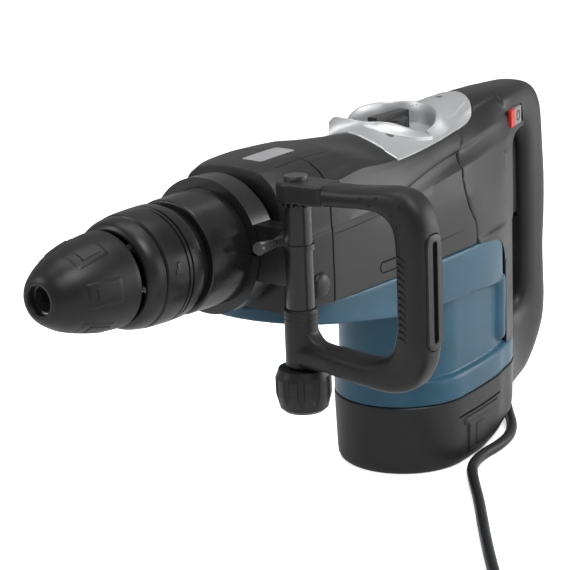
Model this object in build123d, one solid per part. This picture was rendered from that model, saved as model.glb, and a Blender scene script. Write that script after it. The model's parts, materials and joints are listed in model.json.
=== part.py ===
"""Electric combination hammer with an upright motor, a rear loop handle and a D-shaped side handle.

Millimetres.  The floor that the base cap stands on is z = 0.  The motor shaft is the Z axis.
The spindle runs along X at the height SPINDLE_Z with the nose towards -X.
The operator's left hand side, with the side handle at rest, is -Y.
"""
import math
import os

from build123d import *

os.makedirs("parts", exist_ok=True)

# ---------------------------------------------------------------- driving sizes
HANDLE_REAR_X = 202.0     # rearmost point of the rear handle
SPINDLE_Z = 227.5         # spindle axis above the floor
TOP_Z = 287.0             # highest point of the covers
WALL = 3.0                # plastic wall thickness
FIT = 0.05                # radial clearance of a sliding or running fit
GAP = 0.3                 # gap between pieces that must never touch
NEST = 0.1                # radial gap between nested round pieces of one body

# chuck
SHANK_R = 9.05            # bore for an 18 mm tool shank
SOCKET_R = 9.4            # bore behind the guide, round the ribs and the rollers
HOLDER_R = 15.0
SLEEVE_R = 40.4
SLEEVE_REAR_X = -281.0
SLEEVE_TRAVEL = 7.0
ROLLER_TRAVEL = 3.5

# barrel and side handle
BARREL_R = 41.5
BARREL_FRONT_X = -273.5
BARREL_REAR_X = -163.0
NECK_R = 35.0             # reduced front end that the release sleeve slides over
BAND_R = 49.0
BAND_X0, BAND_X1 = -236.0, -217.0
POST_X, POST_Y = -226.5, -76.0
POST_R = 9.8
KNOB_R = 19.5

# hammer mechanism
CYLINDER_R = 22.5
BORE_R = 19.0
CRANK_X = -36.0
CRANK_THROW = 18.0
ROD_LENGTH = 75.0
LAYSHAFT_X = -105.0
GEAR_MODULE = 1.5
PINION_TEETH, CRANK_TEETH, LAYSHAFT_TEETH = 7, 41, 51
BEVEL_MODULE = 2.0
BEVEL_PINION_TEETH, BEVEL_RING_TEETH = 10, 33
GEAR_Z0, GEAR_Z1 = 182.0, 191.0

# housings
BODY_FRONT_X = -163.0     # vertical seam between the front cover and the body cover
BODY_REAR_X = 18.0        # seam between the body cover and the rear handle
SEAM_Z = 177.5            # seam between the motor housing and the covers above it
CAP_Z = 57.0              # seam between the base cap and the motor housing
BODY_W = 57.5             # half width of the body cover
MOTOR_R = 52.0
SPINE_X = 80.0            # rear edge of the motor housing
LOOP_X = 118.0            # body side of the rear handle's opening
FLOOR_Z0, FLOOR_Z1 = 165.0, 181.0   # floor of the crank housing

# power cord
CORD_D = 9.0
CORD_R = CORD_D / 2
COIL_TURN_D = 104.0


# ---------------------------------------------------------------- helpers
def save(shape, node):
    """Write one node's STEP file."""
    export_step(shape, f"parts/{node}.step")


def join(shapes):
    """Fuse a list of solids into one."""
    shapes = list(shapes)
    result = shapes[0]
    for shape in shapes[1:]:
        result = result + shape
    return result


def group(shapes):
    """Keep several separate solids together as one node."""
    solids = []
    for shape in shapes:
        solids.extend(shape.solids())
    return Compound(children=solids)


def block(x0, x1, y0, y1, z0, z1):
    """Box between two corners."""
    centre = Pos((x0 + x1) / 2, (y0 + y1) / 2, (z0 + z1) / 2)
    return centre * Box(x1 - x0, y1 - y0, z1 - z0)


def disc_x(x0, x1, radius, bore=0.0, y=0.0, z=SPINDLE_Z):
    """Cylinder or ring along X."""
    place = Pos((x0 + x1) / 2, y, z) * Rot(0, 90, 0)
    shape = place * Cylinder(radius, x1 - x0)
    if bore > 0:
        shape = shape - place * Cylinder(bore, x1 - x0 + 2)
    return shape


def disc_z(x, y, z0, z1, radius, bore=0.0):
    """Cylinder or ring along Z."""
    place = Pos(x, y, (z0 + z1) / 2)
    shape = place * Cylinder(radius, z1 - z0)
    if bore > 0:
        shape = shape - place * Cylinder(bore, z1 - z0 + 2)
    return shape


def disc_y(x, z, y0, y1, radius, bore=0.0):
    """Cylinder or ring along Y."""
    place = Pos(x, (y0 + y1) / 2, z) * Rot(90, 0, 0)
    shape = place * Cylinder(radius, y1 - y0)
    if bore > 0:
        shape = shape - place * Cylinder(bore, y1 - y0 + 2)
    return shape


def turned_x(profile):
    """Solid of revolution about the spindle axis from a closed list of (x, radius)."""
    points = [(x, 0, SPINDLE_Z + radius) for x, radius in profile]
    face = make_face(Polyline(*points, close=True))
    return revolve(face, Axis((0, 0, SPINDLE_Z), (1, 0, 0)))


def turned_z(x, y, profile):
    """Solid of revolution about an upright axis from a closed list of (radius, z)."""
    points = [(x + radius, y, z) for radius, z in profile]
    face = make_face(Polyline(*points, close=True))
    return revolve(face, Axis((x, y, 0), (0, 0, 1)))


def around_spindle(shape, count, start=0.0):
    """Copies of a shape evenly spaced about the spindle axis."""
    centre = Pos(0, 0, SPINDLE_Z)
    turns = [start + 360 * i / count for i in range(count)]
    return [centre * Rot(turn, 0, 0) * centre.inverse() * shape for turn in turns]


def around_upright(shape, x, y, count, start=0.0):
    """Copies of a shape evenly spaced about an upright axis."""
    centre = Pos(x, y, 0)
    turns = [start + 360 * i / count for i in range(count)]
    return [centre * Rot(0, 0, turn) * centre.inverse() * shape for turn in turns]


def arch(x, half_width, bottom, top, shoulder):
    """Cross-section at x: flat bottom, upright sides and rounded shoulders."""
    plane = Plane(origin=(x, 0, 0), x_dir=(0, 1, 0), z_dir=(1, 0, 0))
    sketch = Pos(0, (top + bottom) / 2) * Rectangle(2 * half_width, top - bottom)
    corners = sketch.vertices().sort_by(Axis.Y)[-2:]
    return plane * fillet(corners, shoulder)


def arch_loft(stations, inset=0.0, floor=None):
    """Ruled loft through arch sections, each (x, half width, bottom, top, shoulder)."""
    sections = []
    for x, half_width, bottom, top, shoulder in stations:
        low = bottom if floor is None else floor
        sections.append(arch(x, half_width - inset, low, top - inset, shoulder - inset))
    return loft(sections, ruled=True)


# ---------------------------------------------------------------- gears
def gear_face(teeth, phase, x, y):
    """Spur gear outline in the floor plane; one tooth centre lies at the angle phase."""
    pitch_r = GEAR_MODULE * teeth / 2
    tip_r = pitch_r + 0.8 * GEAR_MODULE
    root_r = pitch_r - 1.05 * GEAR_MODULE
    thickness = 0.37 * math.pi * GEAR_MODULE
    tip_half = math.degrees((thickness - 0.7) / 2 / tip_r)
    root_half = math.degrees((thickness + 0.3) / 2 / root_r)
    points = []
    for tooth in range(teeth):
        centre = phase + 360 * tooth / teeth
        corners = [(root_r, -root_half), (tip_r, -tip_half), (tip_r, tip_half), (root_r, root_half)]
        for radius, offset in corners:
            angle = math.radians(centre + offset)
            points.append((x + radius * math.cos(angle), y + radius * math.sin(angle)))
    return make_face(Polyline(*points, close=True))


def spur_gear(teeth, phase, x, z0, z1):
    """Spur gear on an upright axis at (x, 0)."""
    return Pos(0, 0, z0) * extrude(gear_face(teeth, phase, x, 0), z1 - z0)


BEVEL_PINION_R = BEVEL_MODULE * BEVEL_PINION_TEETH / 2
BEVEL_RING_R = BEVEL_MODULE * BEVEL_RING_TEETH / 2
BEVEL_CONE = math.hypot(BEVEL_PINION_R, BEVEL_RING_R)
BEVEL_INNER = 0.78        # inner end of a bevel tooth as a share of the cone distance
BEVEL_ROOT = 2.1
BEVEL_TIP = 1.3
APEX = Vector(LAYSHAFT_X, 0, SPINDLE_Z)
PITCH_LINE = Vector(-BEVEL_PINION_R, 0, -BEVEL_RING_R).normalized()


def bevel_tooth(side, root_width, tip_width):
    """One straight tooth along the lowest pitch line; side +1 for the ring, -1 for the pinion."""
    ends = []
    for share in (1.0, BEVEL_INNER):
        plane = Plane(APEX + PITCH_LINE * BEVEL_CONE * share, x_dir=(0, 1, 0), z_dir=PITCH_LINE)
        low = -side * (BEVEL_ROOT + 0.4) * share
        high = side * BEVEL_TIP * share
        corners = [(-root_width / 2 * share, low), (root_width / 2 * share, low),
                   (tip_width / 2 * share, high), (-tip_width / 2 * share, high)]
        ends.append(plane * make_face(Polyline(*corners, close=True)))
    return loft(ends, ruled=True)


def bevel_ring_gear():
    """Large bevel gear pressed on the cylinder."""
    out_x = LAYSHAFT_X - BEVEL_PINION_R
    in_x = LAYSHAFT_X - BEVEL_PINION_R * BEVEL_INNER
    lean_x = BEVEL_RING_R / BEVEL_CONE * BEVEL_ROOT
    lean_r = BEVEL_PINION_R / BEVEL_CONE * BEVEL_ROOT
    outer = (out_x - lean_x, BEVEL_RING_R - lean_r)
    inner = (in_x - lean_x * BEVEL_INNER, BEVEL_RING_R * BEVEL_INNER - lean_r * BEVEL_INNER)
    back_x = outer[0] - 7
    blank = turned_x([outer, inner, (inner[0], CYLINDER_R + NEST), (back_x, CYLINDER_R + NEST),
                      (back_x, outer[1])])
    tooth = bevel_tooth(1, 3.4, 1.4)
    half_pitch = 180 / BEVEL_RING_TEETH
    return join([blank] + around_spindle(tooth, BEVEL_RING_TEETH, half_pitch))


def layshaft():
    """Upright shaft with its spur gear and the bevel pinion that drives the ring gear."""
    lean_r = BEVEL_RING_R / BEVEL_CONE * BEVEL_ROOT
    lean_z = BEVEL_PINION_R / BEVEL_CONE * BEVEL_ROOT
    low_z = SPINDLE_Z - BEVEL_RING_R - lean_z
    high_z = SPINDLE_Z - (BEVEL_RING_R + lean_z) * BEVEL_INNER
    low_r = BEVEL_PINION_R - lean_r
    high_r = (BEVEL_PINION_R - lean_r) * BEVEL_INNER
    blank = turned_z(LAYSHAFT_X, 0, [(0, 171.5), (6, 171.5), (6, GEAR_Z1), (low_r, GEAR_Z1),
                                     (low_r, low_z), (high_r, high_z), (0, high_z)])
    gear = spur_gear(LAYSHAFT_TEETH, 180 / LAYSHAFT_TEETH, LAYSHAFT_X, GEAR_Z0, GEAR_Z1)
    tooth = bevel_tooth(-1, 2.4, 1.3)
    return join([blank, gear] + around_upright(tooth, LAYSHAFT_X, 0, BEVEL_PINION_TEETH))


# ---------------------------------------------------------------- chuck and spindle
HOLDER_NECK_R = 13.4
ROLLER_X0, ROLLER_X1 = -323.5, -309.5
ROLLER_R = 3.2
ROLLER_PITCH_R = 10.4
BOLT_R = 12.0
SEAT_X = -292.0           # flange that the sleeve spring pushes against


def tool_holder():
    """Steel holder that takes the tool shank, with drive ribs and roller windows."""
    body = turned_x([(-391, 0), (-391, HOLDER_R), (-334, HOLDER_R), (-334, HOLDER_NECK_R),
                     (SEAT_X, HOLDER_NECK_R), (SEAT_X, 22), (SEAT_X + 4, 22), (SEAT_X + 4, 19.5),
                     (-240, 19.5), (-240, 0)])
    body = body - disc_x(-392, -360, SHANK_R)
    body = body - disc_x(-361, -288, SOCKET_R)
    body = body - disc_x(-288, -239, BOLT_R + FIT)
    rib = block(-355, -336, 6.9, SOCKET_R + 1, -1.6, 1.6)
    ribs = [Pos(0, 0, SPINDLE_Z) * rib, Pos(0, 0, SPINDLE_Z) * Rot(180, 0, 0) * rib]
    half = ROLLER_R + FIT
    window = block(ROLLER_X0 - 0.1, ROLLER_X1 + 0.1, -half, half, 0, 20)
    for turn in (0, 180):
        body = body - Pos(0, 0, SPINDLE_Z) * Rot(turn, 0, 0) * window
    return join([body] + ribs)


def locking_roller(side):
    """Roller that falls into the shank's locking groove; side +1 above, -1 below."""
    return disc_x(ROLLER_X0, ROLLER_X1, ROLLER_R, z=SPINDLE_Z + side * ROLLER_PITCH_R)


CAP_PROFILE = [(-397, 12.5), (-395, 16.0), (-390, 19.6), (-380, 24.8), (-365, 29.4), (-350, 32.2),
               (-336, 33.2)]


def dust_cap():
    """Rubber nose cone with a lip round the tool hole."""
    outer = Spline(*[(x, 0, SPINDLE_Z + r) for x, r in CAP_PROFILE])
    lip_r = SHANK_R + 0.6
    bore_r = HOLDER_R + NEST
    inside = [(-336, 33.2), (-334.2, 31.5), (-334.2, bore_r), (-391.1, bore_r), (-391.1, lip_r),
              (-397, lip_r), (-397, 12.5)]
    rest = Polyline(*[(x, 0, SPINDLE_Z + r) for x, r in inside])
    return revolve(make_face([outer, rest]), Axis((0, 0, SPINDLE_Z), (1, 0, 0)))


def cap_retaining_ring():
    """Ring behind the dust cap that holds it on the tool holder."""
    return disc_x(-333.9, -331.6, 18, HOLDER_NECK_R + NEST)


def release_sleeve():
    """Sliding sleeve: a cone inside holds the rollers in until it is pulled back."""
    cone_r = ROLLER_PITCH_R + ROLLER_R + 0.4
    slope = ROLLER_TRAVEL / SLEEVE_TRAVEL
    cone_x = ROLLER_X1
    front_x = -330.5
    front_r = cone_r + slope * (cone_x - front_x)
    return turned_x([(front_x, front_r), (front_x, 33.0), (-326, 34.2), (-321, 36.6), (-316, 38.4),
                     (-309, 39.3), (-292, 40.0), (SLEEVE_REAR_X, SLEEVE_R), (SLEEVE_REAR_X, NECK_R + 1.3),
                     (-303, NECK_R + 1.3), (-303, cone_r), (cone_x, cone_r)])


def sleeve_spring():
    """Compression spring that pushes the sleeve forward."""
    wire_r = 0.8
    length = SEAT_X + 303 - 2 * wire_r - 0.2
    path = Helix(pitch=length / 2.5, height=length, radius=18)
    start = path.position_at(0)
    section = Plane(origin=start, z_dir=path.tangent_at(0)) * Circle(wire_r)
    coil = sweep(section, path=path)
    return Pos(-303 + wire_r + 0.1, 0, SPINDLE_Z) * Rot(0, 90, 0) * coil


def cylinder():
    """Steel tube in which the piston and the ram run; it turns with the tool holder."""
    return disc_x(-240, -88, CYLINDER_R, BORE_R)


def impact_bolt():
    """Anvil between the ram and the tool."""
    return turned_x([(-306, 0), (-306, 8.6), (-284.5, 8.6), (-284.5, BOLT_R), (-262, BOLT_R), (-262, 9),
                     (-246, 9), (-246, 0)])


def ram():
    """Free striker driven by the air cushion."""
    body = turned_x([(-238, 0), (-238, 10), (-229, 10), (-229, BORE_R - FIT), (-186, BORE_R - FIT),
                     (-186, 0)])
    return body - disc_x(-200, -185, 13)


CRANK_PIN_X = CRANK_X - CRANK_THROW
WRIST_X = CRANK_PIN_X - ROD_LENGTH
WRIST_R = 5.0


def piston():
    """Piston, open at the back for the connecting rod."""
    body = disc_x(WRIST_X - 16, WRIST_X + 20, BORE_R - FIT)
    pocket = block(WRIST_X - 10, WRIST_X + 21, -13, 13, SPINDLE_Z - 8, SPINDLE_Z + 8)
    pin_hole = disc_z(WRIST_X, 0, SPINDLE_Z - 20, SPINDLE_Z + 20, WRIST_R + NEST)
    return body - pocket - pin_hole


def wrist_pin():
    """Upright pin that joins the piston and the rod."""
    return disc_z(WRIST_X, 0, SPINDLE_Z - 17, SPINDLE_Z + 17, WRIST_R)


def connecting_rod():
    """Rod from the wrist pin to the crank pin."""
    low, high = SPINDLE_Z - 6, SPINDLE_Z + 6
    small_end = disc_z(WRIST_X, 0, low, high, 9)
    big_end = disc_z(CRANK_PIN_X, 0, low, high, 13)
    shank = block(WRIST_X, CRANK_PIN_X, -5.5, 5.5, low + 1, high - 1)
    rod = small_end + big_end + shank
    rod = rod - disc_z(WRIST_X, 0, low - 1, high + 1, WRIST_R + FIT)
    return rod - disc_z(CRANK_PIN_X, 0, low - 1, high + 1, 8)


def crankshaft():
    """Crankshaft with its disc and crank pin; the pin ends just below the rod."""
    journal = turned_z(CRANK_X, 0, [(0, 172.5), (8, 172.5), (8, 205), (27, 205), (27, 213), (0, 213)])
    relief = block(CRANK_X - 30, CRANK_X + 2, 14, 30, 204, 214)
    journal = journal - relief - mirror(relief, Plane.XZ)
    pin = disc_z(CRANK_PIN_X, 0, 212, SPINDLE_Z - 6.7, 7)
    return journal + pin


def crank_gear():
    """Gear on the crankshaft, driven by the armature pinion."""
    gear = spur_gear(CRANK_TEETH, 180 / CRANK_TEETH, CRANK_X, GEAR_Z0, GEAR_Z1)
    return gear - disc_z(CRANK_X, 0, GEAR_Z0 - 1, GEAR_Z1 + 1, 8 + NEST)


# ---------------------------------------------------------------- bearings and seals
def ball_bearing(x, z0, z1, shaft_r, outer_r):
    """Sealed bearing on an upright shaft: a ring with a step for the seal on both faces."""
    seal_inner = shaft_r + (outer_r - shaft_r) * 0.3
    seal_outer = outer_r - (outer_r - shaft_r) * 0.3
    ring = disc_z(x, 0, z0, z1, outer_r, shaft_r + FIT)
    for seal_z in (z0, z1):
        ring = ring - disc_z(x, 0, seal_z - 0.6, seal_z + 0.6, seal_outer, seal_inner)
    return ring


def ball_bearings():
    """Bearings of the motor shaft, the crankshaft and the layshaft."""
    return group([ball_bearing(0, 14.5, 23.5, 6, 15), ball_bearing(0, 166, 175.5, 6, 16),
                  ball_bearing(CRANK_X, 173, 180.5, 8, 17), ball_bearing(CRANK_X, 193.5, 202.5, 8, 19),
                  ball_bearing(LAYSHAFT_X, 172, 180.5, 6, 11)])


def needle_bearings():
    """Needle bearings of the tool holder in the barrel and of the cylinder in the crank case."""
    front = disc_x(-278, -262, 30.9, 19.5 + FIT)
    rear = disc_x(-161, -151, 28.9, CYLINDER_R + FIT)
    return group([front, rear])


def oil_seal():
    """Lip seal in front of the needle bearing."""
    return disc_x(-287, -279, 30.9, 19.5 + FIT)


# ---------------------------------------------------------------- motor
def armature_shaft():
    """Motor shaft with the drive pinion cut on its top end."""
    shaft = turned_z(0, 0, [(0, 12), (6, 12), (6, 178), (3.4, 178), (3.4, 197), (0, 197)])
    return shaft + spur_gear(PINION_TEETH, 180, 0, 179, 196)


def armature_core():
    """Laminated core with winding heads."""
    core = disc_z(0, 0, 82, 146, 26, 6 + NEST)
    slots = around_upright(block(22, 27, -1, 1, 86, 142), 0, 0, 12)
    for slot in slots:
        core = core - slot
    heads = disc_z(0, 0, 70, 82, 20, 6 + NEST) + disc_z(0, 0, 146, 149, 20, 6 + NEST)
    return core + heads


def commutator():
    """Copper segments at the lower end of the armature."""
    ring = disc_z(0, 0, 44, 64, 16, 6 + NEST)
    for slot in around_upright(block(14.5, 17, -0.4, 0.4, 43, 65), 0, 0, 16):
        ring = ring - slot
    return ring


def cooling_fan():
    """Radial fan above the armature."""
    hub = disc_z(0, 0, 150.5, 163, 12, 6 + NEST)
    plate = disc_z(0, 0, 150.5, 152.5, 40, 6 + NEST)
    blade = block(10, 39, -1, 1, 152, 162)
    return join([hub + plate] + around_upright(blade, 0, 0, 9))


def stator_core():
    """Laminated field core: a ring with two pole shoes."""
    ring = disc_z(0, 0, 84, 148, 48.5, 39)
    pole = disc_z(0, 0, 84, 148, 40, 27.5) & block(0, 50, -17, 17, 84, 148)
    return ring + pole + mirror(pole, Plane.YZ)


def field_coils():
    """Two field windings, one round each pole shoe."""
    coil = disc_z(0, 0, 79, 149.5, 38.5, 29) & block(0, 50, -26, 26, 79, 149.5)
    pole_space = disc_z(0, 0, 83.8, 149.6, 60, 20) & block(0, 60, -17.2, 17.2, 83.8, 149.6)
    coil = coil - pole_space
    return group([coil, mirror(coil, Plane.YZ)])


BRUSH_Z0, BRUSH_Z1 = 48.0, 58.0


def carbon_brushes():
    """Two brushes that press on the commutator."""
    brush = block(-4, 4, 16.2, 30, BRUSH_Z0 + 1, BRUSH_Z1 - 1) - disc_z(0, 0, 40, 70, 16.2)
    return group([brush, mirror(brush, Plane.XZ)])


def brush_holders():
    """Brass boxes that guide the brushes."""
    box = block(-6, 6, 18.5, 40, BRUSH_Z0 - 1.5, BRUSH_Z1 + 1.5)
    box = box - block(-4 - FIT, 4 + FIT, 18, 38, BRUSH_Z0 + 1 - FIT, BRUSH_Z1 - 1 + FIT)
    return group([box, mirror(box, Plane.XZ)])


def end_bracket():
    """Plate in the base cap that carries the lower motor bearing."""
    plate = disc_z(0, 0, 14, 24, 52, 15 + NEST)
    shelf = disc_z(0, 0, 14, 44, 52, 47.5)
    vents = around_upright(disc_z(33, 0, 13, 25, 8), 0, 0, 6, 30)
    for vent in vents:
        plate = plate - vent
    shelf_posts = block(-6, 6, 30, 40, 23, BRUSH_Z0 - 1.6)
    return plate + shelf + shelf_posts + mirror(shelf_posts, Plane.XZ)


# ---------------------------------------------------------------- barrel and crank case
def barrel_housing():
    """Tube that carries the chuck, the side handle and the front bearing."""
    shape = turned_x([(-289, 31), (-289, NECK_R), (BARREL_FRONT_X, NECK_R), (BARREL_FRONT_X, 39.2),
                      (BARREL_FRONT_X + 1, 40), (-241, BARREL_R), (BARREL_REAR_X, BARREL_R),
                      (BARREL_REAR_X, 38.3), (-258, 38.3), (-261.9, 31)])
    return shape


CASE_W = 50.0
CASE_TOP = 265.0
CASE_SHOULDER = 34.0
ROOF = 3.0
CASE_SPLIT_Z = 240.0
CASE_X0, CASE_X1 = BODY_FRONT_X + NEST, 13.0


def crank_case_block():
    """Both halves of the crank case together, hollow, with the cylinder's bearing seat."""
    section = (CASE_W, FLOOR_Z0, CASE_TOP, CASE_SHOULDER)
    room = (CASE_W - 5, FLOOR_Z1, CASE_TOP - ROOF, CASE_SHOULDER - ROOF)
    outer = arch_loft([(CASE_X0, *section), (CASE_X1, *section)])
    inner = arch_loft([(CASE_X0 + 2, *room), (CASE_X1 - 5, *room)])
    boss = disc_x(CASE_X0 + 1, -150, 33)
    return (outer - inner + boss) - disc_x(CASE_X0 - 1, -149, 29)


def crank_case():
    """Lower half: the floor holds the motor, crank and layshaft bearings."""
    shape = crank_case_block() & block(-200, 50, -90, 90, 100, CASE_SPLIT_Z)
    shape = shape - disc_z(0, 0, 164, 176, 16 + NEST) - disc_z(0, 0, 164, 182, 8)
    shape = shape - disc_z(CRANK_X, 0, 172, 182, 17 + NEST)
    shape = shape - disc_z(LAYSHAFT_X, 0, 171, 182, 11 + NEST)
    for side in (-1, 1):
        shape = shape + block(-74, -16, side * 41 - 4.5, side * 41 + 4.5, FLOOR_Z1 - 0.5, 193)
        shape = shape - disc_z(CRANK_X, 0, FLOOR_Z1, 193.5, 35)
    return shape


def crank_case_cover():
    """Upper half with the hole for the mode lever's stem."""
    shape = crank_case_block() & block(-200, 50, -90, 90, CASE_SPLIT_Z + NEST, 300)
    return shape - disc_z(LEVER_X, 0, 250, 270, LEVER_STEM_R + FIT)


def bearing_plate():
    """Plate above the gears that holds the crankshaft's upper bearing."""
    plate = block(-74, -14, -CASE_W + 5.2, CASE_W - 5.2, 193.1, 203)
    return plate - disc_z(CRANK_X, 0, 192, 204, 19 + NEST)


# ---------------------------------------------------------------- outer covers
# stations of an arched cover: x, half width, underside z, top z, shoulder radius
FRONT_JOINT = (BODY_FRONT_X, 57, SEAM_Z, 282, 22)
REAR_JOINT = (BODY_REAR_X, 55, SEAM_Z, 285, 48)
FRONT_STATIONS = [(-207, 46, SEAM_Z, 280, 12), (-186, 54.5, SEAM_Z, 281, 17), FRONT_JOINT]
BODY_STATIONS = [FRONT_JOINT, (-90, BODY_W, SEAM_Z, 281, 46), REAR_JOINT]
REAR_STATIONS = [REAR_JOINT, (70, 46, SEAM_Z, 286, 40), (LOOP_X, 32, SEAM_Z, 286, 26)]
SILVER_X0 = -88.0
SILVER_W = 45.0
LEVER_X = -12.0
LEVER_STEM_R = 5.0
LEVER_R = 15.0
RECESS_R = 23.0
RECESS_Z = 270.0


def shifted(stations, end, dx):
    """Stations with the first (end 0) or last (end -1) one moved along X."""
    moved = [list(station) for station in stations]
    moved[end][0] += dx
    return moved


def front_cover():
    """Cover over the rear of the barrel."""
    stations = shifted(FRONT_STATIONS, -1, -NEST)
    shell = arch_loft(stations) - arch_loft(shifted(stations, 0, WALL), WALL, SEAM_Z - 1)
    return shell - disc_x(-210, -150, BARREL_R + NEST)


def silver_plan(gap=0.0):
    """Plan of the silver top cover, round at the rear, as a tall prism."""
    half = SILVER_W + gap
    front_x = SILVER_X0 - gap
    rear_x = 78 + gap
    sides = Polyline((20, -half, 0), (front_x, -half, 0), (front_x, half, 0), (20, half, 0))
    rear_points = [(20, half), (60, half * 0.66), (rear_x, 0), (60, -half * 0.66), (20, -half)]
    rear = Spline(*rear_points, tangents=((1, 0, 0), (-1, 0, 0)))
    return Pos(0, 0, 240) * extrude(make_face([sides, rear]), 80)


def body_cover():
    """Dark cover round the crank case, open above for the silver cover."""
    inner = arch_loft([(BODY_STATIONS[0][0] - 1,) + BODY_STATIONS[0][1:], BODY_STATIONS[1],
                       (BODY_REAR_X + 1,) + BODY_STATIONS[2][1:]], WALL, SEAM_Z - 1)
    return arch_loft(BODY_STATIONS) - inner - silver_plan(0.15)


def top_cover():
    """Silver cover with a round recess and a raised rim for the mode lever."""
    spans = arch_loft(BODY_STATIONS[1:] + REAR_STATIONS[1:])
    spans = spans + arch_loft([BODY_STATIONS[0], BODY_STATIONS[1]])
    inner = arch_loft(BODY_STATIONS + REAR_STATIONS[1:], WALL, SEAM_Z - 1)
    plate = (spans - inner) & silver_plan() & block(-100, 100, -60, 60, 255, 300)
    well = disc_z(LEVER_X, 0, RECESS_Z - 2.5, 281, RECESS_R + 3, RECESS_R)
    floor = disc_z(LEVER_X, 0, RECESS_Z - 2.5, RECESS_Z, RECESS_R + 1, LEVER_STEM_R + 1)
    rim = disc_z(LEVER_X, 0, 279, TOP_Z, RECESS_R + 6, RECESS_R)
    plate = plate - disc_z(LEVER_X, 0, 260, 300, RECESS_R)
    cover = plate + well + floor + rim
    for x, y in TOP_SCREWS:
        cover = cover - disc_z(x, y, 250, 300, 3.6)
    return cover


TOP_SCREWS = [(-68, -28), (-68, 28), (46, 0)]


def screw(head_z, x, y, length, down=True):
    """Cap screw with its head at one end of an upright shank."""
    step = -1 if down else 1
    head = disc_z(x, y, *sorted((head_z, head_z + step * 2.6)), 3.5)
    shank = disc_z(x, y, *sorted((head_z + step * 2.5, head_z + step * length)), 1.9)
    drive = disc_z(x, y, *sorted((head_z + 0.1 * -step, head_z + step * 1.4)), 1.6)
    return head + shank - drive


def top_cover_screws():
    """Screws that hold the silver cover."""
    heights = [273.5, 273.5, 282.0]
    return [screw(z, x, y, 7) for z, (x, y) in zip(heights, TOP_SCREWS)]


def mode_lever():
    """Round lever with a wing that selects drilling, hammering or both."""
    knob = disc_z(LEVER_X, 0, RECESS_Z + 0.4, 281, LEVER_R)
    wing = block(LEVER_X - 21.5, LEVER_X + 21.5, -4.5, 4.5, RECESS_Z + 0.4, 284.5)
    wing = wing & disc_z(LEVER_X, 0, 260, 290, RECESS_R - 1)
    stem = disc_z(LEVER_X, 0, 252, RECESS_Z + 1, LEVER_STEM_R)
    return knob + wing + stem


def plan_outline(front_r, drop, rear_x, z, inset=0.0):
    """Egg-shaped plan: round in front, narrowing to the rear, cut off at rear_x."""
    radius = front_r - inset
    half = [(30, front_r - 2.0), (62, front_r - drop), (99, front_r - 2.6 * drop),
            (LOOP_X, front_r - 4.2 * drop)]
    kept = [(x, w - inset) for x, w in half if x < rear_x]
    before = kept[-1]
    after = [(x, w - inset) for x, w in half if x >= rear_x][0]
    share = (rear_x - before[0]) / (after[0] - before[0])
    kept.append((rear_x, before[1] + share * (after[1] - before[1])))
    right = [(x, w, z) for x, w in kept]
    left = [(x, -w, z) for x, w in reversed(kept)]
    nose = ThreePointArc((0, -radius, z), (-radius, 0, z), (0, radius, z))
    return make_face([nose, Polyline((0, radius, z), *right, *left, (0, -radius, z))])


CAP_R = 57.0
CAP_DROP = 6.0
CAP_REAR_X = LOOP_X
BOTTOM_X0 = 35.0          # behind this the base rises to the rear
BOTTOM_RISE = 16.0 / 87.0


def wedge_below(extra=0.0):
    """Space under the rising rear part of the base."""
    rear_z = extra + (250 - BOTTOM_X0) * BOTTOM_RISE
    points = [(BOTTOM_X0, 0, extra - 1), (BOTTOM_X0, 0, extra), (250, 0, rear_z), (250, 0, extra - 1)]
    face = make_face(Polyline(*points, close=True))
    return extrude(face, 90, dir=(0, 1, 0), both=True)


def base_cap():
    """Black cap under the motor: the tool stands on it."""
    outer = extrude(plan_outline(CAP_R, CAP_DROP, CAP_REAR_X, 0), CAP_Z - NEST)
    outer = outer - wedge_below()
    inner = Pos(0, 0, WALL) * extrude(plan_outline(CAP_R, CAP_DROP, CAP_REAR_X - WALL, 0, WALL), CAP_Z)
    inner = inner - wedge_below(WALL)
    cap = outer - inner
    seat = disc_z(0, 0, WALL - 0.5, 13.9, 30, 24)
    cap = cap + seat
    for x, y in CAP_SCREWS:
        cap = cap + disc_z(x, y, WALL - 0.5, 13.9, 6)
        cap = cap - disc_z(x, y, -1, 14, 3.6)
    for row in range(4):
        for side in (-1, 1):
            cap = cap - block(-30 + 14 * row, -24 + 14 * row, side * 55 - 8, side * 55 + 8, 30, 48)
    return cap


CAP_SCREWS = [(-36, -24), (-36, 24), (36, -28), (36, 28)]


def base_cap_screws():
    """Screws from below that hold the base cap on the end bracket."""
    return [screw(1.0, x, y, 12.5, down=False) for x, y in CAP_SCREWS]


BOW = [(-205, 0), (-200, 26), (-186, 44), (BODY_FRONT_X, 54), (-95, BODY_W), (20, BODY_W), (SPINE_X, 48)]


def bow_face(z, inset=0.0):
    """Plan of the upper band of the motor housing, which reaches forward like a bow."""
    x_front = BOW[0][0] + inset
    near = [(max(x, x_front), -(w - inset), z) for x, w in BOW[1:]]
    far = [(x, -y, z) for x, y, z in reversed(near)]
    rear_x = SPINE_X - inset
    near[-1] = (rear_x, near[-1][1], z)
    far[0] = (rear_x, far[0][1], z)
    nose = Spline((near[0][0], near[0][1], z), (x_front, 0, z), (far[-1][0], far[-1][1], z))
    return make_face([nose, Polyline(*reversed(far), ), Polyline(*near), Line(near[-1], far[0])])


def below_bow(lift=0.0):
    """Space under the sloping underside of the band."""
    points = [(-260, 0, 176 + lift), (-60, 0, 140 + lift), (200, 0, 140 + lift), (200, 0, 90),
              (-260, 0, 90)]
    return extrude(make_face(Polyline(*points, close=True)), 90, dir=(0, 1, 0), both=True)


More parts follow.
